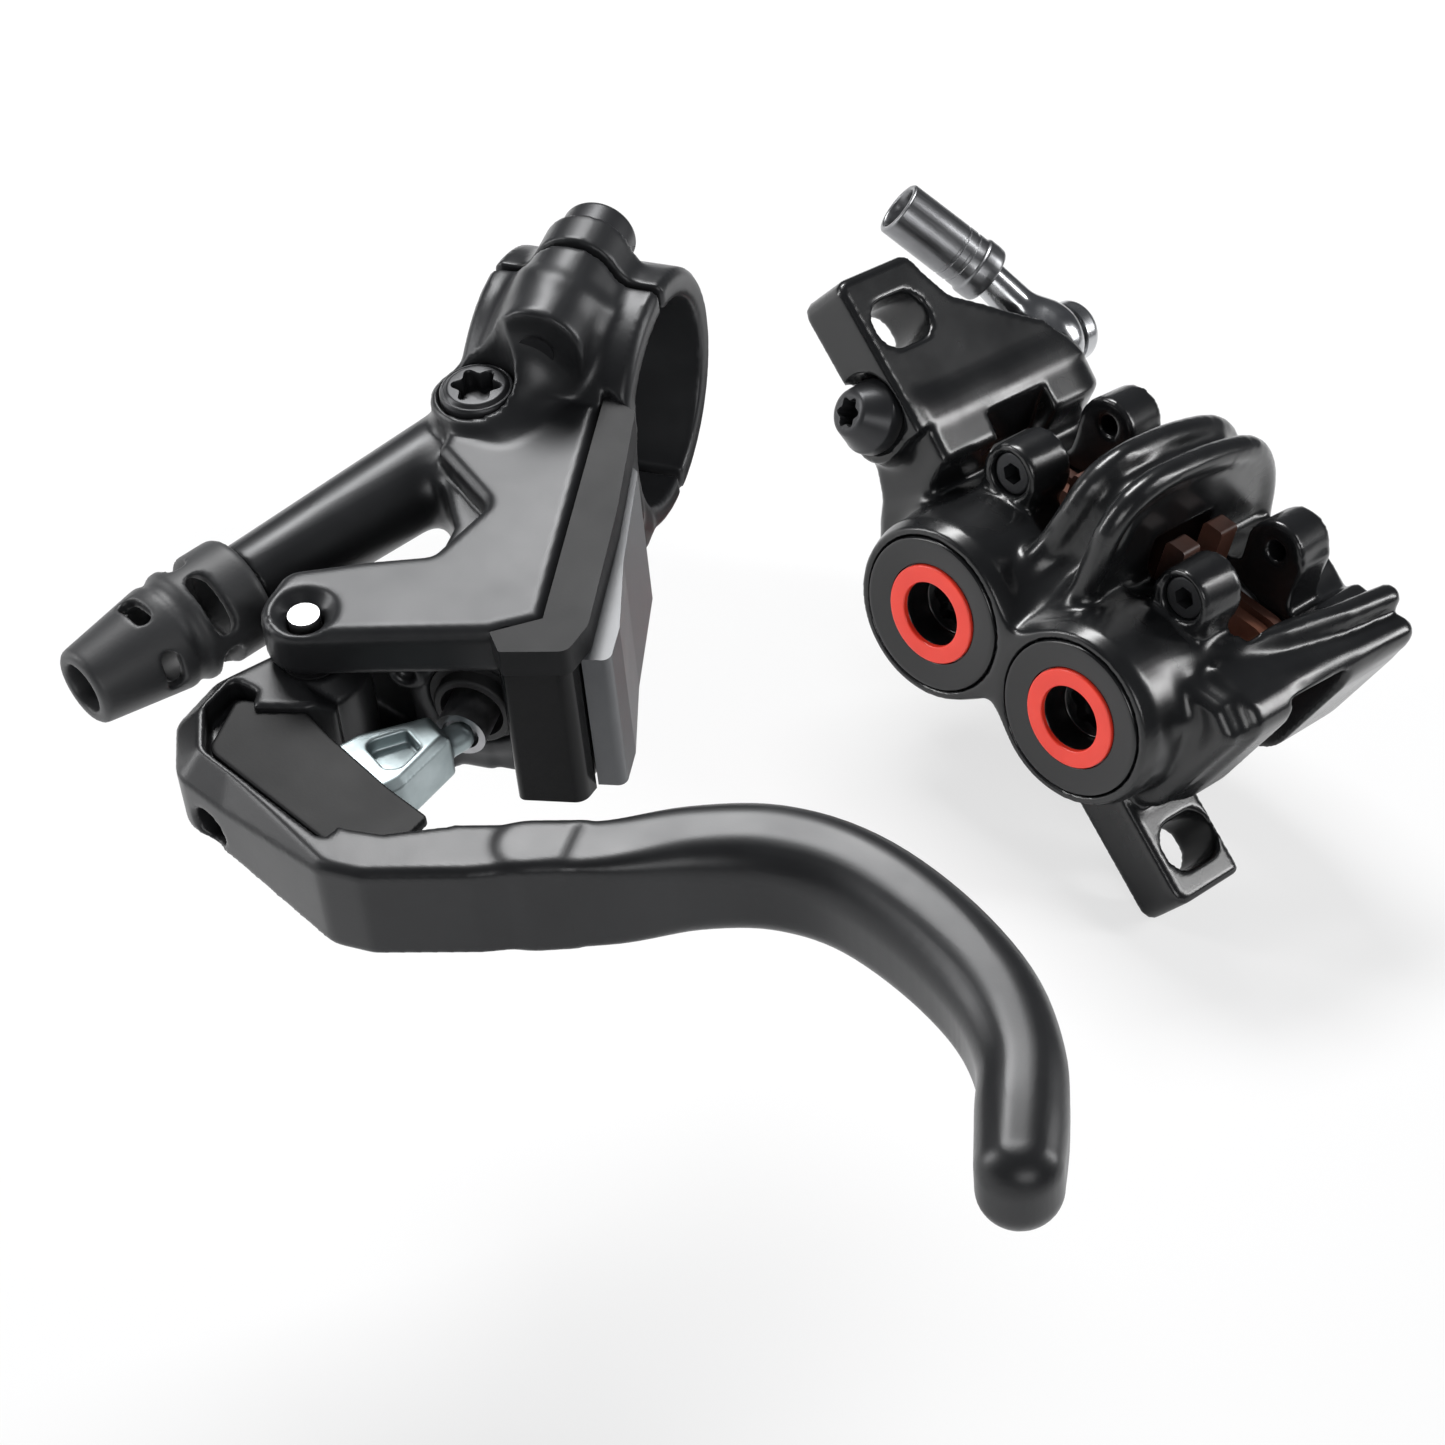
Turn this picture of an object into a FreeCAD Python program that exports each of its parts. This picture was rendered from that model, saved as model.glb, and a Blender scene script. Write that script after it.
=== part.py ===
import FreeCAD, Part
import math
import os
import Sketcher
from types import SimpleNamespace
from FreeCAD import Placement, Rotation, Vector

# Hydraulic disc brake for a bicycle: a handlebar lever with its master cylinder, and a forged
# four-piston caliper. Lengths are in millimetres.
# The row frame is the caliper's: origin at the middle of the rotor slot, between the four pistons.
# X runs from the upper pistons to the lower ones, Y is the piston axis (the open plugs face -Y), and
# Z points out of the pad windows. The lever has a frame of its own: origin on the blade's pivot axis at
# the housing's top face, X to the right, Y towards the handlebar, Z up out of the top face.

doc = FreeCAD.newDocument("disc_brake")
sheet = doc.addObject("Spreadsheet::Sheet", "Sizes")
d = SimpleNamespace()


class Size:
    """A length that knows its value and the expression it came from, so that sketches can be bound to it."""

    def __init__(self, text, value):
        self.text = text
        self.value = value

    def mix(self, other, sign, swapped=False):
        other = other if isinstance(other, Size) else Size(repr(float(other)), float(other))
        first, second = (other, self) if swapped else (self, other)
        results = {"+": first.value + second.value, "-": first.value - second.value, "*": first.value * second.value}
        value = first.value / second.value if sign == "/" else results[sign]
        return Size(f"({first.text} {sign} {second.text})", value)

    def __add__(self, other):
        return self.mix(other, "+")

    def __radd__(self, other):
        return self.mix(other, "+", True)

    def __sub__(self, other):
        return self.mix(other, "-")

    def __rsub__(self, other):
        return self.mix(other, "-", True)

    def __mul__(self, other):
        return self.mix(other, "*")

    def __rmul__(self, other):
        return self.mix(other, "*", True)

    def __truediv__(self, other):
        return self.mix(other, "/")

    def __neg__(self):
        return 0 - self


def value(length):
    return length.value if isinstance(length, Size) else float(length)


SIZES = {
    # Fits
    "running_gap": 0.05, "seat_gap": 0.1, "free_gap": 0.3,
    # Caliper pistons and bores
    "piston_pitch": 23.1, "piston_d": 17, "piston_length": 9, "piston_wall": 1.6, "bore_floor_y": 15.5,
    "boss_r": 11.3, "boss_out": 24.35, "boss_in": 19.5, "seal_width": 2.2, "seal_height": 1.4,
    "seal_y": 9.2,
    # Caliper plugs
    "plug_d": 20.5, "plug_depth": 6.5, "plug_recess_d": 8.4, "plug_recess_depth": 4.6, "plug_dish": 0.5,
    "plug_key": 4.6, "ring_od": 13, "ring_thick": 0.9, "ring_proud": 0.5,
    # Brake pads
    "rotor_gap": 4.4, "lining_thick": 1.75, "plate_thick": 1.5, "pad_length": 19.5, "pad_low": -9.4,
    "pad_top": 11.2, "tab_in": 6.2, "tab_width": 3, "tab_top": 16.2, "magnet_d": 9, "magnet_thick": 1.2,
    # Caliper shell
    "slot_half": 5.65, "shell_half": 16.3, "rim_radius": 101.5, "rim_reach": 8.9, "rim_clear": 3,
    "window_left": -21.8, "window_mid_left": -5.4, "window_mid_right": 4.7, "window_right": 21.2,
    "left_crest_z": 19.4, "mid_crest_z": 21.8, "right_crest_z": 11.6, "saddle_z": 8.4,
    "crest_groove": 1.3,
    # Pad pins
    "pin_x": 14.1, "pin_z": 15.3, "pin_boss_r": 4.5, "pin_boss_out": 12.05, "pin_d": 3.5, "pin_hole_d": 2.6,
    "pin_head_d": 5.6, "pin_head_length": 3.2, "pin_socket": 2.5,
    # Post mount
    "mount_tilt": 32.2, "mount_spacing": 74.2, "mount_mid": -6.8, "seat_level": -6.5, "ear_thick": 7.1,
    "ear_width": 13, "ear_end": 7.2, "ear_y": -11.4, "slot_width": 6.5, "slot_length": 9.5,
    # Caliper fluid fittings
    "bleed_x": -31.6, "bleed_y": -16.9, "bleed_z": 14.4, "bleed_flange_d": 9.6, "bleed_face_d": 5.2,
    "bleed_head": 4.6, "bleed_shank_d": 5, "bleed_shank": 7, "star_socket": 3.9, "star_depth": 2.4,
    "banjo_x": -32.3, "banjo_y": 17.5, "banjo_z": 13.3, "banjo_d": 9.4, "banjo_width": 6.4,
    "banjo_bolt_d": 5.8, "banjo_head_d": 8.2, "banjo_head": 2.6, "washer_thick": 0.8, "neck_d": 5,
    "neck_length": 12, "ferrule_d": 7.4, "ferrule_length": 15.2, "hose_d": 5.1,
    # Lever placing
    "lever_x": -10.3, "lever_y": -139.9, "lever_z": 51.8, "lever_yaw": 25, "lever_pitch": -14,
    "lever_roll": 10,
    # Handlebar clamp
    "bar_d": 22.2, "bar_y": 46.8, "bar_z": -8.4, "clamp_left": 2.6, "clamp_width": 18.6,
    "clamp_wall": 3, "clamp_split": 1.2, "clamp_gap": 0.9, "barrel_x": 11.8, "barrel_r": 4.9,
    "barrel_offset": 13.7, "barrel_front": 10, "barrel_rear": 6.2, "clamp_screw_d": 4,
    "clamp_head_d": 8.2, "clamp_head": 3.4, "clamp_hex": 4,
    # Master housing
    "top_thick": 6, "block_depth": 21, "cylinder_x": 15.6, "cylinder_z": -11.6, "cylinder_od": 13.4,
    "bore_d": 10, "bore_end_y": 31, "front_y": 2.9, "boot_out": 1.5, "boot_r": 4.1,
    "lower_ear_thick": 3.4, "ear_gap": 0.3, "strip_rise": 0.2, "strip_drop": 3,
    # Lever bleed port and hose
    "port_x": 5.9, "port_y": 33.4, "port_r": 4.9, "port_top": 1.2, "port_screw_d": 7, "port_shank_d": 5, "port_shank": 5,
   
    "hose_exit_x": 0.7, "hose_exit_y": 27.5, "hose_exit_z": -6.6, "hose_angle": 59.7,
    "arm_length": 22.6, "arm_d": 8.8, "nut_d": 8, "sleeve_length": 20.5, "sleeve_big_d": 12,
    "sleeve_small_d": 7.8,
    # Blade
    "blade_height": 11.6, "eye_r": 5.4, "pivot_d": 4.4, "pivot_nose_d": 3.2, "countersink_d": 7.2,
    "bush_wall": 0.8, "bush_length": 4, "floor_thick": 2.2,
    # Master piston and link
    "rod_d": 5.2, "rod_end_y": -1.8, "head_y": 8, "head_length": 13, "cup_width": 1.8, "cup_depth": 0.9,
    "link_x": 9, "link_y": -11, "tip_y": -2.2, "link_pin_d": 3, "link_wide": 9.4, "link_narrow": 4.6,
    "link_height": 5.8, "link_tip_r": 1.5, "socket_depth": 1.4, "spring_d": 7.6, "spring_wire": 0.9,
    "spring_turns": 4,
}

for row, (name, number) in enumerate(SIZES.items(), 1):
    sheet.set(f"A{row}", name)
    sheet.set(f"B{row}", str(number))
    sheet.setAlias(f"B{row}", name)
    setattr(d, name, Size(f"Sizes.{name}", float(number)))

GUIDE = {"XY": "XY_Plane", "XZ": "XZ_Plane", "YZ": "YZ_Plane"}
LEVER = Placement(Vector(value(d.lever_x), value(d.lever_y), value(d.lever_z)),
                  Rotation(value(d.lever_yaw), value(d.lever_pitch), value(d.lever_roll)))
nodes = []


def along(origin, direction, spin=0):
    """Placement whose Z axis runs from origin along direction."""
    turn = Rotation(Vector(0, 0, 1), Vector(*direction))
    return Placement(Vector(*(value(c) for c in origin)), turn * Rotation(Vector(0, 0, 1), spin))


def new_body(name, placement=Placement()):
    body = doc.addObject("PartDesign::Body", name)
    body.Label = name
    body.Placement = placement
    nodes.append(body)
    return body


def new_sketch(body, plane, offset=0):
    sketch = body.newObject("Sketcher::SketchObject", f"{body.Name}_sketch")
    support = [feature for feature in body.Origin.OriginFeatures if feature.Role == GUIDE[plane]][0]
    sketch.AttachmentSupport = [(support, "")]
    sketch.MapMode = "FlatFace"
    sketch.AttachmentOffset = Placement(Vector(0, 0, value(offset)), Rotation())
    if isinstance(offset, Size):
        sketch.setExpression(".AttachmentOffset.Base.z", offset.text)
    return sketch


def bind(sketch, rules):
    """Add constraints, and tie each one that has a Size to its expression."""
    for constraint, length in rules:
        index = sketch.addConstraint(constraint)
        if isinstance(length, Size):
            sketch.setExpression(f"Constraints[{index}]", length.text)


def place_rules(geometry, position, x, y):
    return [(Sketcher.Constraint("DistanceX", -1, 1, geometry, position, value(x)), x),
            (Sketcher.Constraint("DistanceY", -1, 1, geometry, position, value(y)), y)]


def draw_circle(sketch, x, y, radius):
    centre = Vector(value(x), value(y), 0)
    index = sketch.addGeometry(Part.Circle(centre, Vector(0, 0, 1), value(radius)), False)
    bind(sketch, place_rules(index, 3, x, y) + [(Sketcher.Constraint("Radius", index, value(radius)), radius)])


def draw_outline(sketch, corners):
    """Closed outline through corners (x, y) or (x, y, radius); a corner with a radius becomes a tangent arc."""
    points = [Vector(value(corner[0]), value(corner[1]), 0) for corner in corners]
    count = len(points)
    ends = []
    for i, corner in enumerate(corners):
        here, before, after = points[i], points[i - 1], points[(i + 1) % count]
        if len(corner) < 3:
            ends.append((here, here, None))
            continue
        back = (before - here).normalize()
        ahead = (after - here).normalize()
        half = back.getAngle(ahead) / 2
        reach = value(corner[2]) / math.tan(half)
        centre = here + (back + ahead).normalize() * (value(corner[2]) / math.sin(half))
        ends.append((here + back * reach, here + ahead * reach, centre))
    first = sketch.GeometryCount
    for i in range(count):
        sketch.addGeometry(Part.LineSegment(ends[i][1], ends[(i + 1) % count][0]), False)
    for i, corner in enumerate(corners):
        before, after = first + (i - 1) % count, first + i
        start, stop, centre = ends[i]
        if centre is None:
            bind(sketch, [(Sketcher.Constraint("Coincident", before, 2, after, 1), None)])
            bind(sketch, place_rules(after, 1, corner[0], corner[1]))
            continue
        left_turn = (start - points[i]).cross(stop - points[i]).z < 0
        low, high = (start, stop) if left_turn else (stop, start)
        angles = [math.atan2((p - centre).y, (p - centre).x) for p in (low, high)]
        circle = Part.Circle(centre, Vector(0, 0, 1), value(corner[2]))
        arc = sketch.addGeometry(Part.ArcOfCircle(circle, angles[0], angles[1]), False)
        point = sketch.addGeometry(Part.Point(points[i]), True)
        first_end, last_end = (1, 2) if left_turn else (2, 1)
        bind(sketch, [
            (Sketcher.Constraint("Tangent", before, 2, arc, first_end), None),
            (Sketcher.Constraint("Tangent", arc, last_end, after, 1), None),
            (Sketcher.Constraint("PointOnObject", point, 1, before), None),
            (Sketcher.Constraint("PointOnObject", point, 1, after), None),
            (Sketcher.Constraint("Radius", arc, value(corner[2])), corner[2])])
        bind(sketch, place_rules(point, 1, corner[0], corner[1]))


def sweep(body, kind, sketch, length, symmetric=False, flip=False, taper=0):
    feature = body.newObject(f"PartDesign::{kind}", f"{body.Name}_{kind.lower()}")
    feature.Profile = sketch
    feature.Length = value(length)
    if isinstance(length, Size):
        feature.setExpression("Length", length.text)
    feature.SideType = "Symmetric" if symmetric else "One side"
    feature.Reversed = flip
    feature.Refine = False
    feature.TaperAngle = taper
    return feature


def pad(body, plane, offset, corners, length, **options):
    sketch = new_sketch(body, plane, offset)
    draw_outline(sketch, corners)
    return sweep(body, "Pad", sketch, length, **options)


def pocket(body, plane, offset, corners, length, **options):
    sketch = new_sketch(body, plane, offset)
    draw_outline(sketch, corners)
    return sweep(body, "Pocket", sketch, length, **options)


def round_pad(body, plane, offset, x, y, radius, length, **options):
    sketch = new_sketch(body, plane, offset)
    draw_circle(sketch, x, y, radius)
    return sweep(body, "Pad", sketch, length, **options)


def round_pocket(body, plane, offset, x, y, radius, length, **options):
    sketch = new_sketch(body, plane, offset)
    draw_circle(sketch, x, y, radius)
    return sweep(body, "Pocket", sketch, length, **options)


def rod(body, kind, origin, direction, radius, length):
    """A cylinder added to or cut from a body, from origin along direction."""
    cylinder = body.newObject(f"PartDesign::{kind}Cylinder", f"{body.Name}_cylinder")
    cylinder.Radius = value(radius)
    cylinder.Height = value(length)
    if isinstance(radius, Size):
        cylinder.setExpression("Radius", radius.text)
    if isinstance(length, Size):
        cylinder.setExpression("Height", length.text)
    cylinder.Placement = along(origin, direction)
    cylinder.Refine = False
    return cylinder


def turned(name, profile, placement=Placement()):
    """A turned piece: a closed profile of (radius, height) corners revolved about Z."""
    body = new_body(name, placement)
    sketch = new_sketch(body, "XZ")
    draw_outline(sketch, profile)
    turn = body.newObject("PartDesign::Revolution", f"{name}_turn")
    turn.Profile = sketch
    turn.ReferenceAxis = (sketch, ["V_Axis"])
    turn.Angle = 360
    return body


def star_pocket(body, top, across, depth):
    """Six-lobe socket cut down from height top: a round core and six lobes in a polar pattern."""
    round_pocket(body, "XY", top, 0, 0, across * 0.38, depth)
    lobe = round_pocket(body, "XY", top, across * 0.37, 0, across * 0.13, depth)
    pattern = body.newObject("PartDesign::PolarPattern", f"{body.Name}_lobes")
    pattern.Originals = [lobe]
    pattern.Axis = ([f for f in body.Origin.OriginFeatures if f.Role == "Z_Axis"][0], [""])
    pattern.Angle = 360
    pattern.Occurrences = 6
    body.Tip = pattern


def hexagon(across):
    """Corners of a hexagon of the given width across flats."""
    reach = across / math.sqrt(3)
    return [(reach * math.cos(math.radians(60 * k)), reach * math.sin(math.radians(60 * k))) for k in range(6)]


def ring_solid(origin, direction, inner, outer, height):
    ring = Part.makeCylinder(value(outer), value(height), Vector(*(value(c) for c in origin)), Vector(*direction))
    return ring.cut(Part.makeCylinder(value(inner), value(height), Vector(*(value(c) for c in origin)), Vector(*direction)))


def group(name, solids, placement=Placement()):
    """Like pieces that share one node, kept as separate solids."""
    feature = doc.addObject("Part::Feature", name)
    feature.Label = name
    feature.Shape = Part.makeCompound(solids)
    feature.Placement = placement
    nodes.append(feature)
    return feature


half_pitch = d.piston_pitch / 2
tilt = math.radians(value(d.mount_tilt))
BOLT = (math.sin(tilt), 0, math.cos(tilt))
seat_top = d.seat_level + d.ear_thick
plate_back = d.rotor_gap / 2 + d.lining_thick + d.plate_thick
rim_drop = d.rim_radius - d.rim_reach
banjo_seat = d.banjo_y - d.banjo_width / 2 - d.washer_thick
BLEED = (-0.325, -0.893, 0.309)
FERRULE = (-0.734, -0.522, 0.435)
SIDES = {"outer": 1, "inner": -1}
PLACES = {"upper": -1, "lower": 1}


def mount_point(m, h):
    """Side-view point m along the bolt line and h along the bolt axis."""
    return (m * math.cos(tilt) + h * math.sin(tilt), h * math.cos(tilt) - m * math.sin(tilt))


def ear(body, near, far):
    """Post-mount ear: a slab along the bolt line, with a slotted hole whose long way is along Y."""
    corners = [mount_point(near, d.seat_level), mount_point(near, seat_top), mount_point(far, seat_top),
               mount_point(far, d.seat_level)]
    if value(near) < value(far):
        corners.reverse()
    pad(body, "XZ", -d.ear_y, corners, d.ear_width, symmetric=True)


def ear_slot(body, m):
    x, z = mount_point(m, d.seat_level - d.free_gap)
    depth = d.ear_thick + 2 * d.free_gap
    reach = (d.slot_length - d.slot_width) / 2
    for side in (-1, 1):
        rod(body, "Subtractive", (x, d.ear_y + side * reach, z), BOLT, d.slot_width / 2, depth)
    middle = body.newObject("PartDesign::SubtractiveBox", "slot_middle")
    middle.Length = value(d.slot_width)
    middle.Width = value(2 * reach)
    middle.Height = value(depth)
    turn = Rotation(Vector(0, 1, 0), value(d.mount_tilt))
    corner = turn.multVec(Vector(-value(d.slot_width) / 2, 0, 0))
    middle.Placement = Placement(Vector(value(x), value(d.ear_y - reach), value(z)) + corner, turn)


def caliper_body():
    body = new_body("caliper_body")
    window_floor = d.saddle_z
    pad(body, "XZ", 0, [
        (-24.5, -d.boss_r, 9), (22.4, -d.boss_r, 7), (30.8, d.right_crest_z - 2.2, 1.5),
        (27.4, d.right_crest_z + 0.4, 2), (d.window_right, d.right_crest_z, 1), (d.window_right - 0.5, window_floor),
        (d.window_left + 0.5, window_floor), (d.window_left, d.left_crest_z - 4, 1), (-29.6, d.left_crest_z, 3),
        (-35.6, d.left_crest_z - 3.4, 1.5), (-31.6, 8, 6), (-26, -1, 6)], 2 * d.shell_half, symmetric=True)
    for low, high, crest in ((d.window_mid_left, d.window_mid_right, d.mid_crest_z - d.crest_groove),
                             (d.window_mid_left, d.window_mid_left + 3.4, d.mid_crest_z - 0.3),
                             (d.window_mid_right - 3.4, d.window_mid_right, d.mid_crest_z)):
        pad(body, "YZ", low, [(-d.shell_half, 2), (d.shell_half, 2), (d.shell_half - 1.2, crest, 8.5),
                              (1.2 - d.shell_half, crest, 8.5)], high - low)
    for sign in (-1, 1):
        for low, crest, reach, drop in ((-40, d.left_crest_z, 6.5, 13), (21.4, d.right_crest_z + 0.8, 5, 9)):
            out = d.shell_half + 2
            corners = [(sign * (d.shell_half - reach - 2), crest), (sign * d.shell_half, crest, reach),
                       (sign * d.shell_half, crest - drop), (sign * out, crest - drop), (sign * out, crest + 3),
                       (sign * (d.shell_half - reach - 2), crest + 3)]
            corners = corners if sign > 0 else corners[::-1]
            pocket(body, "YZ", low, corners, 18.2 if low < 0 else 12, flip=True)
    for side in (1, -1):
        end = d.boss_out if side > 0 else d.boss_in
        start = d.shell_half - 5
        for place in (-1, 1):
            round_pad(body, "XZ", side * start, place * half_pitch, 0, d.boss_r, end - start, flip=side < 0)
        web = half_pitch - d.boss_r * 0.72
        pad(body, "XZ", side * start, [(-web, -d.boss_r * 0.68), (web, -d.boss_r * 0.68), (web, d.boss_r * 0.68),
                                       (-web, d.boss_r * 0.68)], end - start - 0.6, flip=side < 0)
        for place in (-1, 1):
            middle = place * d.pin_x
            pad(body, "XZ", side * (d.slot_half - 1), [
                (middle - d.pin_boss_r, window_floor - 1), (middle + d.pin_boss_r, window_floor - 1),
                (middle + d.pin_boss_r, d.pin_z + d.pin_boss_r, value(d.pin_boss_r) * 0.96),
                (middle - d.pin_boss_r, d.pin_z + d.pin_boss_r, value(d.pin_boss_r) * 0.96)],
                d.pin_boss_out - d.slot_half + 1, flip=side < 0)
    upper, lower = d.mount_mid - d.mount_spacing / 2, d.mount_mid + d.mount_spacing / 2
    ear(body, -33, upper - d.ear_end)
    ear(body, 12, lower + d.ear_end - 0.8)
    bleed = Vector(*(value(c) for c in (d.bleed_x, d.bleed_y, d.bleed_z)))
    rod(body, "Additive", (bleed.x - 6 * BLEED[0], bleed.y - 6 * BLEED[1], bleed.z - 6 * BLEED[2]), BLEED,
        d.bleed_flange_d / 2 + 0.4, 6)
    round_pad(body, "XZ", -(banjo_seat - 9), d.banjo_x, d.banjo_z, 5.2, 9, flip=True)
    # Openings and bores
    round_pocket(body, "XZ", 0, 0, -rim_drop, d.rim_radius + d.rim_clear, 2 * d.slot_half, symmetric=True)
    pocket(body, "XZ", 0, [(d.window_left - 2, 6), (d.window_right, 6), (d.window_right, 15.6), (d.window_left - 2, 15.6)],
           2 * d.slot_half, symmetric=True)
    for low, high in ((d.window_left - 2, d.window_mid_left), (d.window_mid_right, d.window_right)):
        pocket(body, "XZ", 0, [(low, 7), (high, 7), (high, 30), (low, 30)], 2 * d.slot_half, symmetric=True)
    for place in (-1, 1):
        middle = place * half_pitch
        round_pocket(body, "XZ", d.boss_out, middle, 0, d.piston_d / 2 + d.running_gap, d.boss_out + d.bore_floor_y)
        round_pocket(body, "XZ", d.boss_out, middle, 0, d.plug_d / 2 + d.running_gap, d.plug_depth)
        for low in (-d.seal_y - d.seal_width, d.seal_y):
            rod(body, "Subtractive", (middle, low, 0), (0, 1, 0), d.piston_d / 2 + d.seal_height, d.seal_width)
        round_pocket(body, "XZ", d.pin_boss_out, place * d.pin_x, d.pin_z, d.pin_d / 2 + d.running_gap,
                     d.pin_boss_out)
        round_pocket(body, "XZ", 0, place * d.pin_x, d.pin_z, d.pin_hole_d / 2, 2 * d.pin_boss_out, symmetric=True)
        round_pocket(body, "XZ", d.pin_boss_out, place * d.pin_x, d.pin_z, d.pin_head_d / 2 + d.running_gap,
                     d.pin_head_length)
    ear_slot(body, upper)
    ear_slot(body, lower)
    rod(body, "Subtractive", bleed, tuple(-c for c in BLEED), d.bleed_shank_d / 2 + d.running_gap, d.bleed_shank + 0.5)
    rod(body, "Subtractive", bleed, BLEED, d.bleed_flange_d / 2 + 0.4, 8)
    round_pocket(body, "XZ", -20, d.banjo_x, d.banjo_z, d.banjo_bolt_d / 2 + d.running_gap, 15, flip=True)
    round_pocket(body, "XZ", -banjo_seat, d.banjo_x, d.banjo_z, 6.4, 8, flip=False)
    return body


def caliper_plugs():
    top = d.plug_depth
    seat = top - d.ring_thick + d.ring_proud
    for label, place in PLACES.items():
        facing = Placement(Vector(place * value(half_pitch), -value(d.boss_out - d.plug_depth), 0),
                           Rotation(Vector(1, 0, 0), 90))
        plug = turned(f"bore_plug_{label}", [
            (0, 0), (d.plug_d / 2 - 1.2, 0), (d.plug_d / 2 - 1.2, 2.6), (d.plug_d / 2, 2.6), (d.plug_d / 2, top + 0.4, 0.5),
            (d.ring_od / 2 + 0.1, top - d.plug_dish), (d.ring_od / 2 + 0.1, seat - 0.2),
            (d.plug_recess_d / 2, seat - 0.2), (d.plug_recess_d / 2, top - d.plug_recess_depth),
            (0, top - d.plug_recess_depth)], facing)
        star_pocket(plug, top - d.plug_recess_depth, d.plug_key, 1.2)
        turned(f"cover_ring_{label}", [
            (d.plug_recess_d / 2 + 0.05, seat - 0.2), (d.ring_od / 2, seat - 0.2), (d.ring_od / 2, seat + d.ring_thick - 0.3, 0.3),
            (d.plug_recess_d / 2 + 0.05, seat + d.ring_thick - 0.3, 0.3)], facing)


def caliper_seals():
    solids = []
    for place in (-1, 1):
        for low in (-d.seal_y - d.seal_width, d.seal_y):
            solids.append(ring_solid((place * half_pitch, low, 0), (0, 1, 0), d.piston_d / 2 + d.running_gap,
                                     d.piston_d / 2 + d.seal_height, d.seal_width))
    group("piston_seals", solids)
    plug_seals = [ring_solid((place * half_pitch, -(d.boss_out - d.plug_depth), 0), (0, -1, 0), d.plug_d / 2 - 1.2,
                             d.plug_d / 2, 2.6) for place in (-1, 1)]
    group("plug_seals", plug_seals)


def pads_and_pistons():
    for side, sign in SIDES.items():
        for label, place in PLACES.items():
            middle = place * half_pitch
            outward = Rotation(Vector(1, 0, 0), 90 * sign)
            back = Placement(Vector(value(middle), -sign * value(plate_back), 0), outward)
            inner = d.piston_d / 2 - d.piston_wall
            turned(f"piston_{side}_{label}", [
                (0, d.magnet_thick), (d.magnet_d / 2, d.magnet_thick), (d.magnet_d / 2, 0), (d.piston_d / 2, 0, 0.5),
                (d.piston_d / 2, d.piston_length, 0.5), (inner, d.piston_length), (inner, d.magnet_thick + 2),
                (0, d.magnet_thick + 2)], back)
            turned(f"magnet_{side}_{label}", [(0, 0), (d.magnet_d / 2, 0), (d.magnet_d / 2, d.magnet_thick),
                                              (0, d.magnet_thick)], back)
            plate = new_body(f"pad_plate_{side}_{label}")
            front = d.rotor_gap / 2 + d.lining_thick
            low, high = middle - d.pad_length / 2, middle + d.pad_length / 2
            pad(plate, "XZ", sign * front, [(low, d.pad_low, 2), (high, d.pad_low, 2), (high, d.pad_top - 3, 3),
                                            (low, d.pad_top - 3, 3)], d.plate_thick, flip=sign < 0)
            near = d.tab_in if place > 0 else -d.tab_in - d.tab_width
            far = near + d.tab_width
            pad(plate, "XZ", sign * front, [
                (near, d.pad_top - 5), (far, d.pad_top - 5), (far, d.tab_top, 0.6), (near, d.tab_top, 0.6)],
                d.plate_thick, flip=sign < 0)
            pad(plate, "XZ", sign * d.rotor_gap / 2, [
                (near, d.pad_top - 3.6), (far, d.pad_top - 3.6), (far, d.tab_top, 0.6), (near, d.tab_top, 0.6)],
                d.lining_thick, flip=sign < 0)
            lining = new_body(f"lining_{side}_{label}")
            pad(lining, "XZ", sign * d.rotor_gap / 2, [
                (low + 0.6, d.pad_low + 0.6, 2), (high - 0.6, d.pad_low + 0.6, 2),
                (high - 0.6, d.pad_top - 4, 3), (low + 0.6, d.pad_top - 4, 3)], d.lining_thick, flip=sign < 0)


def pad_pins():
    for label, place in PLACES.items():
        facing = Placement(Vector(place * value(d.pin_x), -value(d.slot_half), value(d.pin_z)),
                           Rotation(Vector(1, 0, 0), 90))
        length = d.pin_boss_out - d.slot_half
        pin = turned(f"pad_pin_{label}", [
            (0, 0), (d.pin_d / 2, 0), (d.pin_d / 2, length - d.pin_head_length), (d.pin_head_d / 2, length - d.pin_head_length),
            (d.pin_head_d / 2, length - 0.6, 0.4), (0, length - 0.6)], facing)
        pocket(pin, "XY", length - 0.6, hexagon(d.pin_socket), d.pin_head_length * 0.7)


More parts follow.
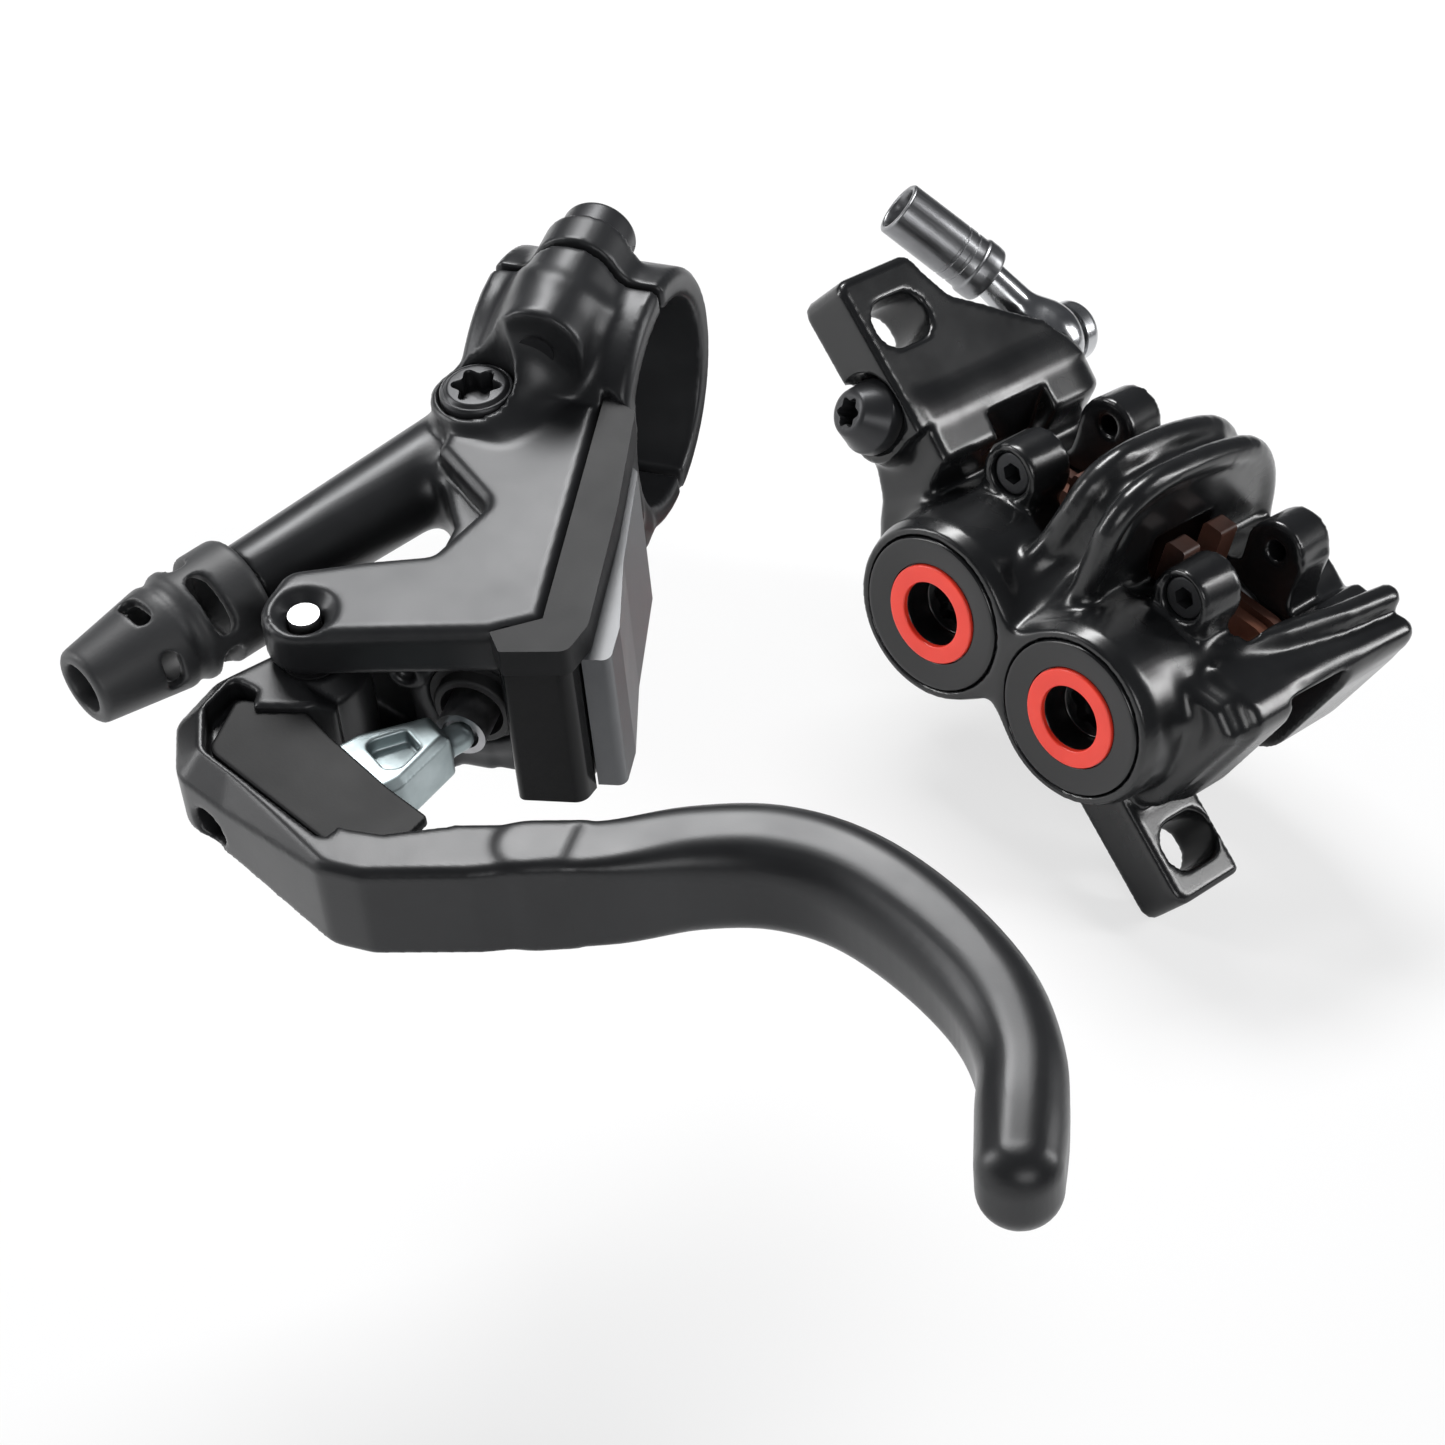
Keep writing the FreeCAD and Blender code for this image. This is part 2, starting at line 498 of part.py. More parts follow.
def caliper_fittings():
    bleed = along((d.bleed_x, d.bleed_y, d.bleed_z), BLEED)
    screw = turned("bleed_screw", [
        (0, -d.bleed_shank), (d.bleed_shank_d / 2, -d.bleed_shank), (d.bleed_shank_d / 2, 0.8), (d.bleed_flange_d / 2, 0.8),
        (d.bleed_flange_d / 2, 2, 0.3), (d.bleed_face_d / 2, d.bleed_head + 0.8, 0.3), (0, d.bleed_head + 0.8)], bleed)
    star_pocket(screw, d.bleed_head + 0.8, d.star_socket, d.star_depth)
    turned("bleed_seal", [(d.bleed_shank_d / 2, 0), (d.bleed_flange_d / 2 - 0.4, 0), (d.bleed_flange_d / 2 - 0.4, 0.8),
                          (d.bleed_shank_d / 2, 0.8)], bleed)
    centre = Vector(value(d.banjo_x), value(d.banjo_y), value(d.banjo_z))
    bolt_r = d.banjo_bolt_d / 2
    banjo = new_body("banjo", Placement(centre, Rotation()))
    ball = d.banjo_d / 2
    width = d.banjo_width / 2
    rod(banjo, "Additive", (0, -value(width), 0), (0, 1, 0), ball - 0.5, d.banjo_width)
    sphere = banjo.newObject("PartDesign::AdditiveSphere", "banjo_ball")
    sphere.Radius = value(ball)
    sphere.setExpression("Radius", ball.text)
    rod(banjo, "Additive", (0, 0, 0), FERRULE, d.neck_d / 2, d.neck_length + 0.6)
    for side in (-1, 1):
        rod(banjo, "Subtractive", (0, side * width, 0), (0, side, 0), ball + 1, 5)
    rod(banjo, "Subtractive", (0, -6, 0), (0, 1, 0), bolt_r + d.running_gap, 12)
    ferrule = along(centre + Vector(*FERRULE) * value(d.neck_length), FERRULE)
    outer, length = d.ferrule_d / 2, d.ferrule_length
    turned("hose_ferrule", [
        (d.neck_d / 2, 0.6), (d.neck_d / 2, 0), (outer + 0.4, 0, 0.3), (outer + 0.4, 3, 0.3), (outer, 3), (outer, length, 0.4),
        (outer - 0.6, length), (d.hose_d / 2 + 0.1, length - 1.4), (d.hose_d / 2 + 0.1, 2.2), (1.1, 2.2), (1.1, 0.6)], ferrule)
    seat = Placement(Vector(value(d.banjo_x), value(banjo_seat), value(d.banjo_z)), Rotation(Vector(1, 0, 0), -90))
    head_base = d.banjo_width + 2 * d.washer_thick
    bolt = turned("banjo_bolt", [
        (0, -8), (bolt_r, -8), (bolt_r, head_base), (d.banjo_head_d / 2, head_base), (d.banjo_head_d / 2, head_base + d.banjo_head, 0.6),
        (0, head_base + d.banjo_head)], seat)
    star_pocket(bolt, head_base + d.banjo_head, d.star_socket, d.star_depth)
    washers = [ring_solid((0, 0, low), (0, 0, 1), bolt_r + d.running_gap, 4.1, d.washer_thick)
               for low in (0, d.washer_thick + d.banjo_width)]
    group("banjo_washers", washers, seat)


caliper_body()
caliper_plugs()
caliper_seals()
pads_and_pistons()
pad_pins()
caliper_fittings()


HOSE = (-math.cos(math.radians(value(d.hose_angle))), -math.sin(math.radians(value(d.hose_angle))), 0)
blade_top = -d.top_thick - d.ear_gap
blade_low = blade_top - d.blade_height
split_y = d.bar_y + d.clamp_split
clamp_right = d.clamp_left + d.clamp_width
clamp_r = d.bar_d / 2 + d.clamp_wall
cap_end_y = d.bar_y + d.barrel_rear
port_low = 13
port_seat = d.port_top - 1.6
arm_root = 3
lug_end = 8.6
lug_top = 16


def on_lever(placement=Placement()):
    return LEVER.multiply(placement)


def clamp_shape(body, low_y, high_y):
    """Half of the handlebar ring with its two screw barrels, between two planes across Y."""
    rod(body, "Additive", (d.clamp_left, d.bar_y, d.bar_z), (1, 0, 0), clamp_r, d.clamp_width)
    for side in (-1, 1):
        level = d.bar_z + side * d.barrel_offset
        start = low_y if value(low_y) > value(d.bar_y) - 5 else d.bar_y - d.barrel_front
        rod(body, "Additive", (d.barrel_x, start, level), (0, 1, 0), d.barrel_r, high_y - start)
        near, far = d.bar_z + side * (d.bar_d / 2), level
        bottom, top = (near, far) if side > 0 else (far, near)
        pad(body, "YZ", d.barrel_x - d.barrel_r, [(start, bottom), (high_y, bottom), (high_y, top), (start, top)],
            2 * d.barrel_r)


def clamp_cuts(body, wall_y, outward):
    """Bar bore, and everything on the far side of the split."""
    rod(body, "Subtractive", (d.clamp_left - 1, d.bar_y, d.bar_z), (1, 0, 0), d.bar_d / 2, d.clamp_width + 2)
    reach = 30
    low, high = (wall_y, wall_y + reach) if outward > 0 else (wall_y - reach, wall_y)
    pocket(body, "YZ", d.clamp_left - 1, [(low, d.bar_z - reach), (high, d.bar_z - reach), (high, d.bar_z + reach),
                                          (low, d.bar_z + reach)], d.clamp_width + 2, flip=True)


def strip_outline():
    """Plan of the dark strip along the outboard edge of the top face, round its front corner."""
    return [(18.9 + d.seat_gap, 1.2), (20.8, -1.2, 0.4), (27.2, 0.4, 1.4), (28, 4.3, 3), (25.4, 20.3, 20),
            (22.3, 35.2, 1.4), (18.3 + d.seat_gap, 36.9), (23.3 + d.seat_gap, 4.2)]


def casting():
    """The lever housing as it is forged in one piece: lugs, cylinder, hose arm and half of the clamp."""
    body = new_body("casting", on_lever())
    nodes.remove(body)
    pad(body, "XY", -d.top_thick, [
        (-6.4, -5.6, 4.4), (18.8, 1.4, 0.4), (23.3, 4.3, 0.6), (18.3, 36.8), (9.2, 36.8), (4.2, 31), (4.2, 25.8, 1),
        (12.1, 19.1, 1.6), (9.3, 10.9, 1.6), (3.4, 8.7, 2), (-4.1, 5.3, 2.4)], d.top_thick)
    pad(body, "XY", -d.block_depth, [
        (lug_end, d.front_y), (26.4, d.front_y), (27, 6.2), (24.6, 15.9), (21.4, 30.6), (20.6, 37.5), (4.2, 37.5),
        (4.2, 25.8), (lug_end, 18)], d.block_depth - d.strip_drop)
    pad(body, "XY", blade_low - d.ear_gap - d.lower_ear_thick, [
        (-5, -5, 4.6), (6.4, -4.6, 3), (12.5, d.front_y), (12.5, 14), (2, 9, 2), (-4.6, 5.4, 2.4)], d.lower_ear_thick)
    pad(body, "XY", -d.block_depth, [(10, d.front_y), (16, d.front_y), (16, 14), (10, 14)], 6)
    rod(body, "Additive", (d.cylinder_x, d.front_y, d.cylinder_z), (0, 1, 0), d.cylinder_od / 2,
        d.bore_end_y + 3 - d.front_y)
    clamp_shape(body, d.bar_y - d.barrel_front, split_y)
    round_pad(body, "XY", -port_low, d.port_x, d.port_y, d.port_r, d.port_top + port_low)
    shoulder = (d.barrel_x, d.bar_y - 4.8, d.bar_z + d.barrel_offset)
    foot = (d.port_x + 0.9, d.port_y - 3.4, -4)
    fall = tuple(value(a - b) for a, b in zip(foot, shoulder))
    rod(body, "Additive", shoulder, fall, d.barrel_r, math.hypot(*fall))
    start = tuple(a - 7 * b for a, b in zip((d.hose_exit_x, d.hose_exit_y, d.hose_exit_z), HOSE))
    rod(body, "Additive", start, HOSE, d.arm_d / 2, d.arm_length + 7)
    clamp_cuts(body, split_y - d.clamp_gap / 2, 1)
    # Seats of the side strip and the reservoir's front
    pocket(body, "XY", -d.strip_drop, strip_outline(), d.strip_drop + 2, flip=True)
    pocket(body, "XY", -d.strip_drop, [(19.8, -3), (30, -3), (30, d.front_y), (19.8, d.front_y)], d.top_thick)
    # Bores and holes
    rod(body, "Subtractive", (d.cylinder_x, d.front_y - 1, d.cylinder_z), (0, 1, 0), d.bore_d / 2 + d.running_gap,
        d.bore_end_y + 1 - d.front_y)
    round_pocket(body, "XY", 0, 0, 0, d.pivot_nose_d / 2, d.top_thick)
    cone = body.newObject("PartDesign::SubtractiveCone", "countersink")
    cone.Radius1 = value(d.pivot_nose_d) / 2
    cone.Radius2 = value(d.countersink_d) / 2
    cone.Height = 1.4
    cone.Placement = Placement(Vector(0, 0, -1.4), Rotation())
    rod(body, "Subtractive", (0, 0, blade_low - d.ear_gap - d.lower_ear_thick), (0, 0, 1), d.pivot_d / 2,
        d.lower_ear_thick)
    rod(body, "Subtractive", (d.port_x, d.port_y, port_seat), (0, 0, 1), d.port_screw_d / 2 + d.free_gap, 12)
    round_pocket(body, "XY", port_seat + 2, d.port_x, d.port_y, d.port_shank_d / 2 + d.running_gap,
                 d.port_shank + 2 + d.free_gap)
    mouth = tuple(a + (d.arm_length) * b for a, b in zip((d.hose_exit_x, d.hose_exit_y, d.hose_exit_z), HOSE))
    inward = tuple(-c for c in HOSE)
    rod(body, "Subtractive", mouth, inward, d.nut_d / 2 + d.running_gap, 9)
    rod(body, "Subtractive", mouth, inward, d.hose_d / 2 + d.running_gap, 16)
    for side in (-1, 1):
        rod(body, "Subtractive", (d.barrel_x, d.bar_y - d.barrel_front + 3, d.bar_z + side * d.barrel_offset), (0, 1, 0),
            d.clamp_screw_d / 2 + d.running_gap, d.barrel_front)
    return body


def cut_box(name, length, width, height, placement):
    box = doc.addObject("Part::Box", name)
    box.Length, box.Width, box.Height = value(length), value(width), value(height)
    box.Placement = placement
    return box


def part_of(name, kind, base, tool, node=True):
    """What a box cuts from the casting (Common), or what is left of it (Cut)."""
    feature = doc.addObject(f"Part::{kind}", name)
    feature.Label = name
    feature.Base, feature.Tool = base, tool
    feature.Refine = False
    if node:
        nodes.append(feature)
    return feature


def master_body():
    """The casting in three nodes that meet face to face: its body, its pivot lugs and its hose arm."""
    whole = casting()
    root = tuple(a + arm_root * b for a, b in zip((d.hose_exit_x, d.hose_exit_y, d.hose_exit_z), HOSE))
    side = d.arm_d / 2 + 1
    reach = Placement(Vector(-value(side), -value(side), 0), Rotation())
    arm_box = cut_box("arm_box", 2 * side, 2 * side, d.arm_length, on_lever(along(root, HOSE)).multiply(reach))
    beyond = 20
    corner = Placement(Vector(-beyond, -beyond, -value(d.block_depth) - beyond), Rotation())
    lug_box = cut_box("lug_box", lug_end + beyond, lug_top + beyond, d.block_depth + 2 * beyond, on_lever(corner))
    rest = part_of("casting_rest", "Cut", whole, arm_box, node=False)
    part_of("hose_arm", "Common", whole, arm_box)
    part_of("pivot_lugs", "Common", rest, lug_box)
    part_of("master_body", "Cut", rest, lug_box)


def clamp_cap():
    body = new_body("clamp_cap", on_lever())
    start = split_y + d.clamp_gap / 2
    clamp_shape(body, start, cap_end_y)
    clamp_cuts(body, start, -1)
    for side in (-1, 1):
        rod(body, "Subtractive", (d.barrel_x, start - 1, d.bar_z + side * d.barrel_offset), (0, 1, 0),
            d.clamp_screw_d / 2 + d.running_gap, d.barrel_rear + 2)
        rod(body, "Subtractive", (d.barrel_x, cap_end_y, d.bar_z + side * d.barrel_offset), (0, 1, 0),
            d.clamp_head_d / 2 + d.free_gap, 9)
    for side, label in ((1, "upper"), (-1, "lower")):
        length = cap_end_y - (d.bar_y - d.barrel_front + 3.5)
        seat = on_lever(along((d.barrel_x, cap_end_y, d.bar_z + side * d.barrel_offset), (0, 1, 0)))
        screw = turned(f"clamp_screw_{label}", [
            (0, -length), (d.clamp_screw_d / 2, -length), (d.clamp_screw_d / 2, 0), (d.clamp_head_d / 2, 0),
            (d.clamp_head_d / 2, d.clamp_head, 0.6), (0, d.clamp_head)], seat)
        pocket(screw, "XY", d.clamp_head, hexagon(d.clamp_hex), d.clamp_head * 0.6)


def reservoir_parts():
    strip = new_body("side_strip", on_lever())
    pad(strip, "XY", -d.strip_drop, strip_outline(), d.strip_drop + d.strip_rise)
    front = new_body("reservoir_front", on_lever())
    pad(front, "XY", -d.block_depth, [(19.9, d.front_y), (19.9, -0.6, 0.8), (26.7, 0.6, 1.6), (27.2, d.front_y)],
        d.block_depth - d.strip_drop)
    cover = new_body("reservoir_cover", on_lever())
    side = [(26.4 + d.seat_gap, d.front_y), (27 + d.seat_gap, 6.2), (24.6 + d.seat_gap, 15.9), (21.4 + d.seat_gap, 30.6)]
    pad(cover, "XY", -d.block_depth + 0.5, [
        (27.3 + d.seat_gap, d.front_y), (30.2, 3.4, 1), (29.6, 8, 2), (26.9, 17, 9), (23.9, 30.4, 1), side[3],
        side[2], side[1]], d.block_depth - d.strip_drop - 0.7)
    rod(cover, "Subtractive", (d.cylinder_x, d.front_y, d.cylinder_z), (0, 1, 0), d.cylinder_od / 2 + d.seat_gap, 34)
    return cover


def hose_parts():
    mouth = tuple(a + d.arm_length * b for a, b in zip((d.hose_exit_x, d.hose_exit_y, d.hose_exit_z), HOSE))
    seat = on_lever(along(mouth, HOSE))
    hole = d.hose_d / 2 + 0.1
    turned("hose_nut", [(hole, -6), (d.nut_d / 2, -6), (d.nut_d / 2, 0), (d.arm_d / 2, 0), (d.arm_d / 2, 3), (hole, 3)],
           seat)
    turned("hose_olive", [(hole, -8.6), (d.nut_d / 2 - 0.4, -7.6), (d.nut_d / 2 - 0.4, -6.6), (hole, -6)], seat)
    big, small, length = d.sleeve_big_d / 2, d.sleeve_small_d / 2, d.sleeve_length
    inside = d.arm_d / 2 + d.seat_gap
    turned("hose_sleeve", [
        (inside, d.free_gap), (big - 0.5, d.free_gap), (big, 1.2), (big, length / 2, 0.6), (big - 0.8, length / 2 + 0.5),
        (big - 0.8, length / 2 + 2), (small, length, 0.8), (hole, length), (hole, 3.2), (inside, 3.2)], seat)


def port_parts():
    seat = on_lever(Placement(Vector(value(d.port_x), value(d.port_y), value(port_seat)), Rotation()))
    head, shank, seal = d.port_screw_d / 2, d.port_shank_d / 2, 0.5
    top = seal + 1.9
    screw = turned("port_screw", [
        (0, -d.port_shank), (shank, -d.port_shank), (shank, seal), (head, seal), (head, top, 0.5), (0, top)], seat)
    star_pocket(screw, top, d.plug_key, 2)
    turned("port_seal", [(shank + d.seat_gap, 0), (head - d.free_gap, 0), (head - d.free_gap, seal),
                         (shank + d.seat_gap, seal)], seat)


def pivot_parts():
    low = blade_low - d.ear_gap - d.lower_ear_thick
    body_low = -d.top_thick
    turned("pivot_pin", [
        (0, low), (d.pivot_d / 2, low), (d.pivot_d / 2, body_low), (d.pivot_nose_d / 2, body_low),
        (d.pivot_nose_d / 2, -0.5), (0, -0.5)], on_lever())
    inner, outer = d.pivot_d / 2 + d.running_gap, d.pivot_d / 2 + d.bush_wall
    bushes = [ring_solid((0, 0, level), (0, 0, 1), inner, outer, d.bush_length)
              for level in (blade_low, blade_top - d.bush_length)]
    group("pivot_bushes", bushes, on_lever())


def blade():
    body = new_body("blade", on_lever())
    height = d.blade_height
    round_pad(body, "XY", blade_low, 0, 0, d.eye_r, height)
    pad(body, "XY", blade_low, [
        (3.8, -3.8), (5.6, -7.8, 2), (17.6, -15.6, 3), (22.1, -17.3), (33.5, -14.4), (33.5, -20.4), (25.3, -23.6, 6),
        (15.2, -26.2, 3), (10.8, -26, 3), (-8.2, -16.2, 4), (-10.9, -9.8, 3), (-9.4, -3.4, 3), (-3.8, 3.4)][::-1], height)
    stations = [(29.5, -18.6, 14, 6.4, 11.6, 0.8), (36.5, -16.4, 22, 7, 11.6, 1.6), (43.5, -12.8, 22, 8.6, 11.6, 3),
                (51, -10.9, 3, 9.4, 11.6, 3.6), (59, -12, -19, 9.4, 11.5, 3.8), (67.5, -16.4, -33, 9.2, 11.3, 3.8),
                (75, -22.6, -46, 8.8, 11, 3.8), (79.4, -29.2, -62, 8.2, 10.6, 3.6), (81.2, -35.4, -76, 8.4, 10.4, 3.6),
                (82.4, -40.8, -74, 8, 9.8, 3.4), (83.4, -44.8, -66, 4.2, 6, 1.9)]
    middle = blade_low + height / 2
    sections = []
    for x, y, heading, width, tall, radius in stations:
        sketch = body.newObject("Sketcher::SketchObject", "blade_section")
        plane = [f for f in body.Origin.OriginFeatures if f.Role == "XY_Plane"][0]
        sketch.AttachmentSupport = [(plane, "")]
        sketch.MapMode = "FlatFace"
        sketch.AttachmentOffset = Placement(Vector(x, y, value(middle)), Rotation(heading + 90, 0, 90))
        w, t = width / 2, tall / 2
        draw_outline(sketch, [(-w, -t, radius), (w, -t, radius), (w, t, radius), (-w, t, radius)])
        sections.append(sketch)
    hook = body.newObject("PartDesign::AdditiveLoft", "finger_hook")
    hook.Profile = sections[0]
    hook.Sections = sections[1:]
    # Channel for the link, and the window through its floor
    floor = blade_low + d.floor_thick
    pocket(body, "XY", floor, [(-5.4, -8.2, 1.5), (2, -6.6), (5.2, -4), (24, -14), (21.5, -18), (15.4, -20.6, 1.5),
                               (11.6, -20.8, 1.5), (-4.4, -13.2, 1.5)], height, flip=True)
    pocket(body, "XY", blade_low - 1, [(12.5, -16.4, 0.8), (17.5, -17.8, 0.8), (12.6, -19.6, 0.8), (5, -16.4, 0.8)],
           d.floor_thick + 2, flip=True)
    rod(body, "Subtractive", (0, 0, blade_low - 1), (0, 0, 1), d.pivot_d / 2 + d.bush_wall, height + 2)
    rod(body, "Subtractive", (d.link_x, d.link_y, blade_low), (0, 0, 1), d.link_pin_d / 2, d.floor_thick)
    return body


def link_parts():
    rise = math.atan2(value(d.tip_y - d.link_y), value(d.cylinder_x - d.link_x))
    reach = math.hypot(value(d.tip_y - d.link_y), value(d.cylinder_x - d.link_x))
    link = new_body("push_link", on_lever(Placement(
        Vector(value(d.link_x), value(d.link_y), value(d.cylinder_z - d.link_height / 2)),
        Rotation(math.degrees(rise), 0, 0))))
    wide, narrow = d.link_wide / 2, d.link_narrow / 2
    pad(link, "XY", 0, [(-3, -wide, 1), (1, -wide), (reach - 2.4, -narrow, 0.6), (reach - 2.4, narrow, 0.6), (1, wide),
                        (-3, wide, 1)], d.link_height)
    rod(link, "Additive", (reach - 3, 0, value(d.link_height) / 2), (1, 0, 0), d.link_tip_r, 3)
    tip = link.newObject("PartDesign::AdditiveSphere", "link_tip")
    tip.Radius = value(d.link_tip_r)
    tip.setExpression("Radius", d.link_tip_r.text)
    tip.Placement = Placement(Vector(reach, 0, value(d.link_height) / 2), Rotation())
    pocket(link, "XY", d.link_height, [(3, -2.4, 0.5), (6.4, -1.6, 0.5), (6.4, 1.6, 0.5), (3, 2.4, 0.5)], 1.6)
    round_pocket(link, "XY", d.link_height, 0, 0, d.link_pin_d / 2 + d.free_gap, d.link_height)
    pin_top = d.cylinder_z + d.link_height / 2
    turned("link_pin", [(0, blade_low), (d.link_pin_d / 2, blade_low), (d.link_pin_d / 2, pin_top), (0, pin_top)],
           on_lever(Placement(Vector(value(d.link_x), value(d.link_y), 0), Rotation())))


def cylinder_parts():
    seat = on_lever(along((d.cylinder_x, 0, d.cylinder_z), (0, 1, 0)))
    head = d.bore_d / 2
    neck = head - d.cup_depth
    groove = d.cup_width
    end = d.head_y + d.head_length
    lows = (d.head_y + 2, end - 2 - groove)
    profile = [(0, d.rod_end_y + d.socket_depth), (1.9, d.rod_end_y + d.socket_depth), (1.9, d.rod_end_y),
               (d.rod_d / 2, d.rod_end_y), (d.rod_d / 2, d.head_y), (head, d.head_y)]
    for low in lows:
        profile += [(head, low), (neck, low), (neck, low + groove), (head, low + groove)]
    turned("master_piston", profile + [(head, end), (0, end)], seat)
    group("piston_cups", [ring_solid((0, 0, low), (0, 0, 1), neck, head, groove) for low in lows], seat)
    front, lip = d.front_y - d.boot_out, d.rod_d / 2 + d.free_gap
    turned("dust_boot", [
        (d.boot_r - 0.8, front), (d.boot_r, front, 0.3), (d.boot_r, d.front_y), (head - 0.05, d.front_y),
        (head - 0.05, 5.6), (lip, 5.6), (lip, 4), (d.boot_r - 0.8, 3)], seat)
    turned("snap_ring", [(d.rod_d / 2 + 0.6, 5.7), (head, 5.7), (head, 6.6), (d.rod_d / 2 + 0.6, 6.6)], seat)
    length = value(d.bore_end_y - end)
    radius, half = value(d.spring_d - d.spring_wire) / 2, value(d.spring_wire) / 2
    rise = length - 2 * half
    helix = Part.makeHelix(rise / value(d.spring_turns), rise, radius)
    corners = [Vector(radius + x * half, 0, y * half) for x, y in ((-1, -1), (1, -1), (1, 1), (-1, 1), (-1, -1))]
    coil = Part.Wire(helix.Edges).makePipeShell([Part.makePolygon(corners)], True, True)
    coil.translate(Vector(0, 0, value(end) + half))
    group("return_spring", [coil], seat)


master_body()
clamp_cap()
reservoir_parts()
hose_parts()
port_parts()
pivot_parts()
blade()
link_parts()
cylinder_parts()


doc.recompute()
for item in doc.Objects:
    if "Invalid" in item.State or "Error" in item.State:
        raise RuntimeError(f"{item.Label} failed: {item.State}")
for node in nodes:
    if node.Shape.isNull() or not node.Shape.isValid():
        raise RuntimeError(f"{node.Label} has no valid shape")
os.makedirs("parts", exist_ok=True)
for node in nodes:
    node.Shape.exportStep(f"parts/{node.Label}.step")
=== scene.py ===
import math

import bmesh
import bpy
import numpy as np
import openvdb
from mathutils import Matrix, Vector


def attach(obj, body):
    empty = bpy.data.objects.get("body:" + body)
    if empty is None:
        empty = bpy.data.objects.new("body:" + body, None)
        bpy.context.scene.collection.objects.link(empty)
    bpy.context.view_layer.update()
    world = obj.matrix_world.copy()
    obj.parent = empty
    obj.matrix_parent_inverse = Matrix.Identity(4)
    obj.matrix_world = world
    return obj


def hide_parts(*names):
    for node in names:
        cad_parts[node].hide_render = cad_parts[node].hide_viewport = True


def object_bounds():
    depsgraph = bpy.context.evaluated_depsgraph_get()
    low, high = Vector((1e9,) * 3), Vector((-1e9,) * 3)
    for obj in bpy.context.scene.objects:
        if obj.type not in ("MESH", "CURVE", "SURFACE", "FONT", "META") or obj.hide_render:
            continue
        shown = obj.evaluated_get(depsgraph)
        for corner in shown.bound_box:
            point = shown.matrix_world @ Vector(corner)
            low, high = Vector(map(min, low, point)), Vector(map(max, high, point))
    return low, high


# Looks of a bicycle's hydraulic disc brake. Shapes are worked out in millimetres and turned into metres when they
# become meshes. The caliper is drawn in the row frame, the lever set in its own frame, which LEVER places.

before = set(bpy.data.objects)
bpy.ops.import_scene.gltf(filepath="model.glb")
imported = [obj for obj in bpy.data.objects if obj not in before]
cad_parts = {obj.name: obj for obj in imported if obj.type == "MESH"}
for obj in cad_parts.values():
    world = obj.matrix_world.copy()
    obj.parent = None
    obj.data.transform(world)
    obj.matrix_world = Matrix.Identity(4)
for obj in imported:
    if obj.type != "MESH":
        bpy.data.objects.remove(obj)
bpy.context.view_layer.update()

MM = 0.001
CALIPER = Matrix.Identity(4)
LEVER = Matrix.Translation((-0.0103, -0.1399, 0.0518))
for turn_axis, turn_degrees in (("Z", 25), ("Y", -14), ("X", 10)):
    LEVER = LEVER @ Matrix.Rotation(math.radians(turn_degrees), 4, turn_axis)
COARSE = 1.0
FAR = 40  # mm, a distance outside every shape
BAND = 3.0  # mm kept on both sides of a surface when it is meshed
FAR_SQUARED = 1e9  # larger than any squared distance


# Distance fields: each shape is an array of distances, negative inside.

class Solid:
    """Distances to a surface on a regular grid, negative inside, in millimetres."""

    def __init__(self, low, high, step):
        self.step = step * COARSE
        self.low = np.array(low, float)
        axes = [np.arange(a, b + self.step, self.step, dtype=np.float32) for a, b in zip(low, high)]
        self.x, self.y, self.z = axes[0][:, None, None], axes[1][None, :, None], axes[2][None, None, :]
        self.d = np.full([len(a) for a in axes], FAR, np.float32)

    def add(self, shape, blend=0.0):
        self.d = smaller(self.d, shape, blend)

    def cut(self, shape, blend=0.0):
        self.d = -smaller(-self.d, shape, blend)

    def keep(self, shape):
        self.d = np.maximum(self.d, shape)

    def soften(self):
        for axis in range(3):
            d = np.moveaxis(self.d, axis, 0)
            d[1:-1] = (d[:-2] + 2 * d[1:-1] + d[2:]) / 4

    def mesh(self, name, place):
        grid = openvdb.FloatGrid(BAND)
        grid.copyFromArray(np.clip(self.d, -BAND, BAND).astype(np.float32))
        grid.transform = openvdb.createLinearTransform(voxelSize=self.step)
        points, quads = grid.convertToQuads(isovalue=0)
        points = points + self.low
        data = bpy.data.meshes.new(name)
        data.vertices.add(len(points))
        data.vertices.foreach_set("co", points.astype(np.float32).ravel() * MM)
        data.loops.add(quads.size)
        data.loops.foreach_set("vertex_index", quads.astype(np.int32).ravel())
        data.polygons.add(len(quads))
        data.polygons.foreach_set("loop_start", np.arange(0, quads.size, 4, dtype=np.int32))
        data.update(calc_edges=True)
        data.validate()
        data.shade_smooth()
        data.transform(place)
        return piece(name, data, Matrix.Identity(4))


def smaller(a, b, blend):
    """The nearer of two shapes, melted together over the blend."""
    if blend <= 0:
        return np.minimum(a, b)
    return np.minimum(a, b) - np.maximum(blend - np.abs(a - b), 0) ** 2 / (4 * blend)


def outline(corners):
    """Points round an outline of (x, y) or (x, y, radius) corners."""
    points = []
    count = len(corners)
    steps = 6
    for i, corner in enumerate(corners):
        here = Vector(corner[:2])
        if len(corner) < 3:
            points.append(tuple(here))
            continue
        back = (Vector(corners[i - 1][:2]) - here).normalized()
        ahead = (Vector(corners[(i + 1) % count][:2]) - here).normalized()
        half = back.angle(ahead) / 2
        reach = corner[2] / math.tan(half)
        centre = here + (back + ahead).normalized() * (corner[2] / math.sin(half))
        start, stop = here + back * reach - centre, here + ahead * reach - centre
        turn = start.angle_signed(stop)
        for k in range(steps + 1):
            spin = Matrix.Rotation(-turn * k / steps, 2)
            points.append(tuple(centre + spin @ start))
    return points


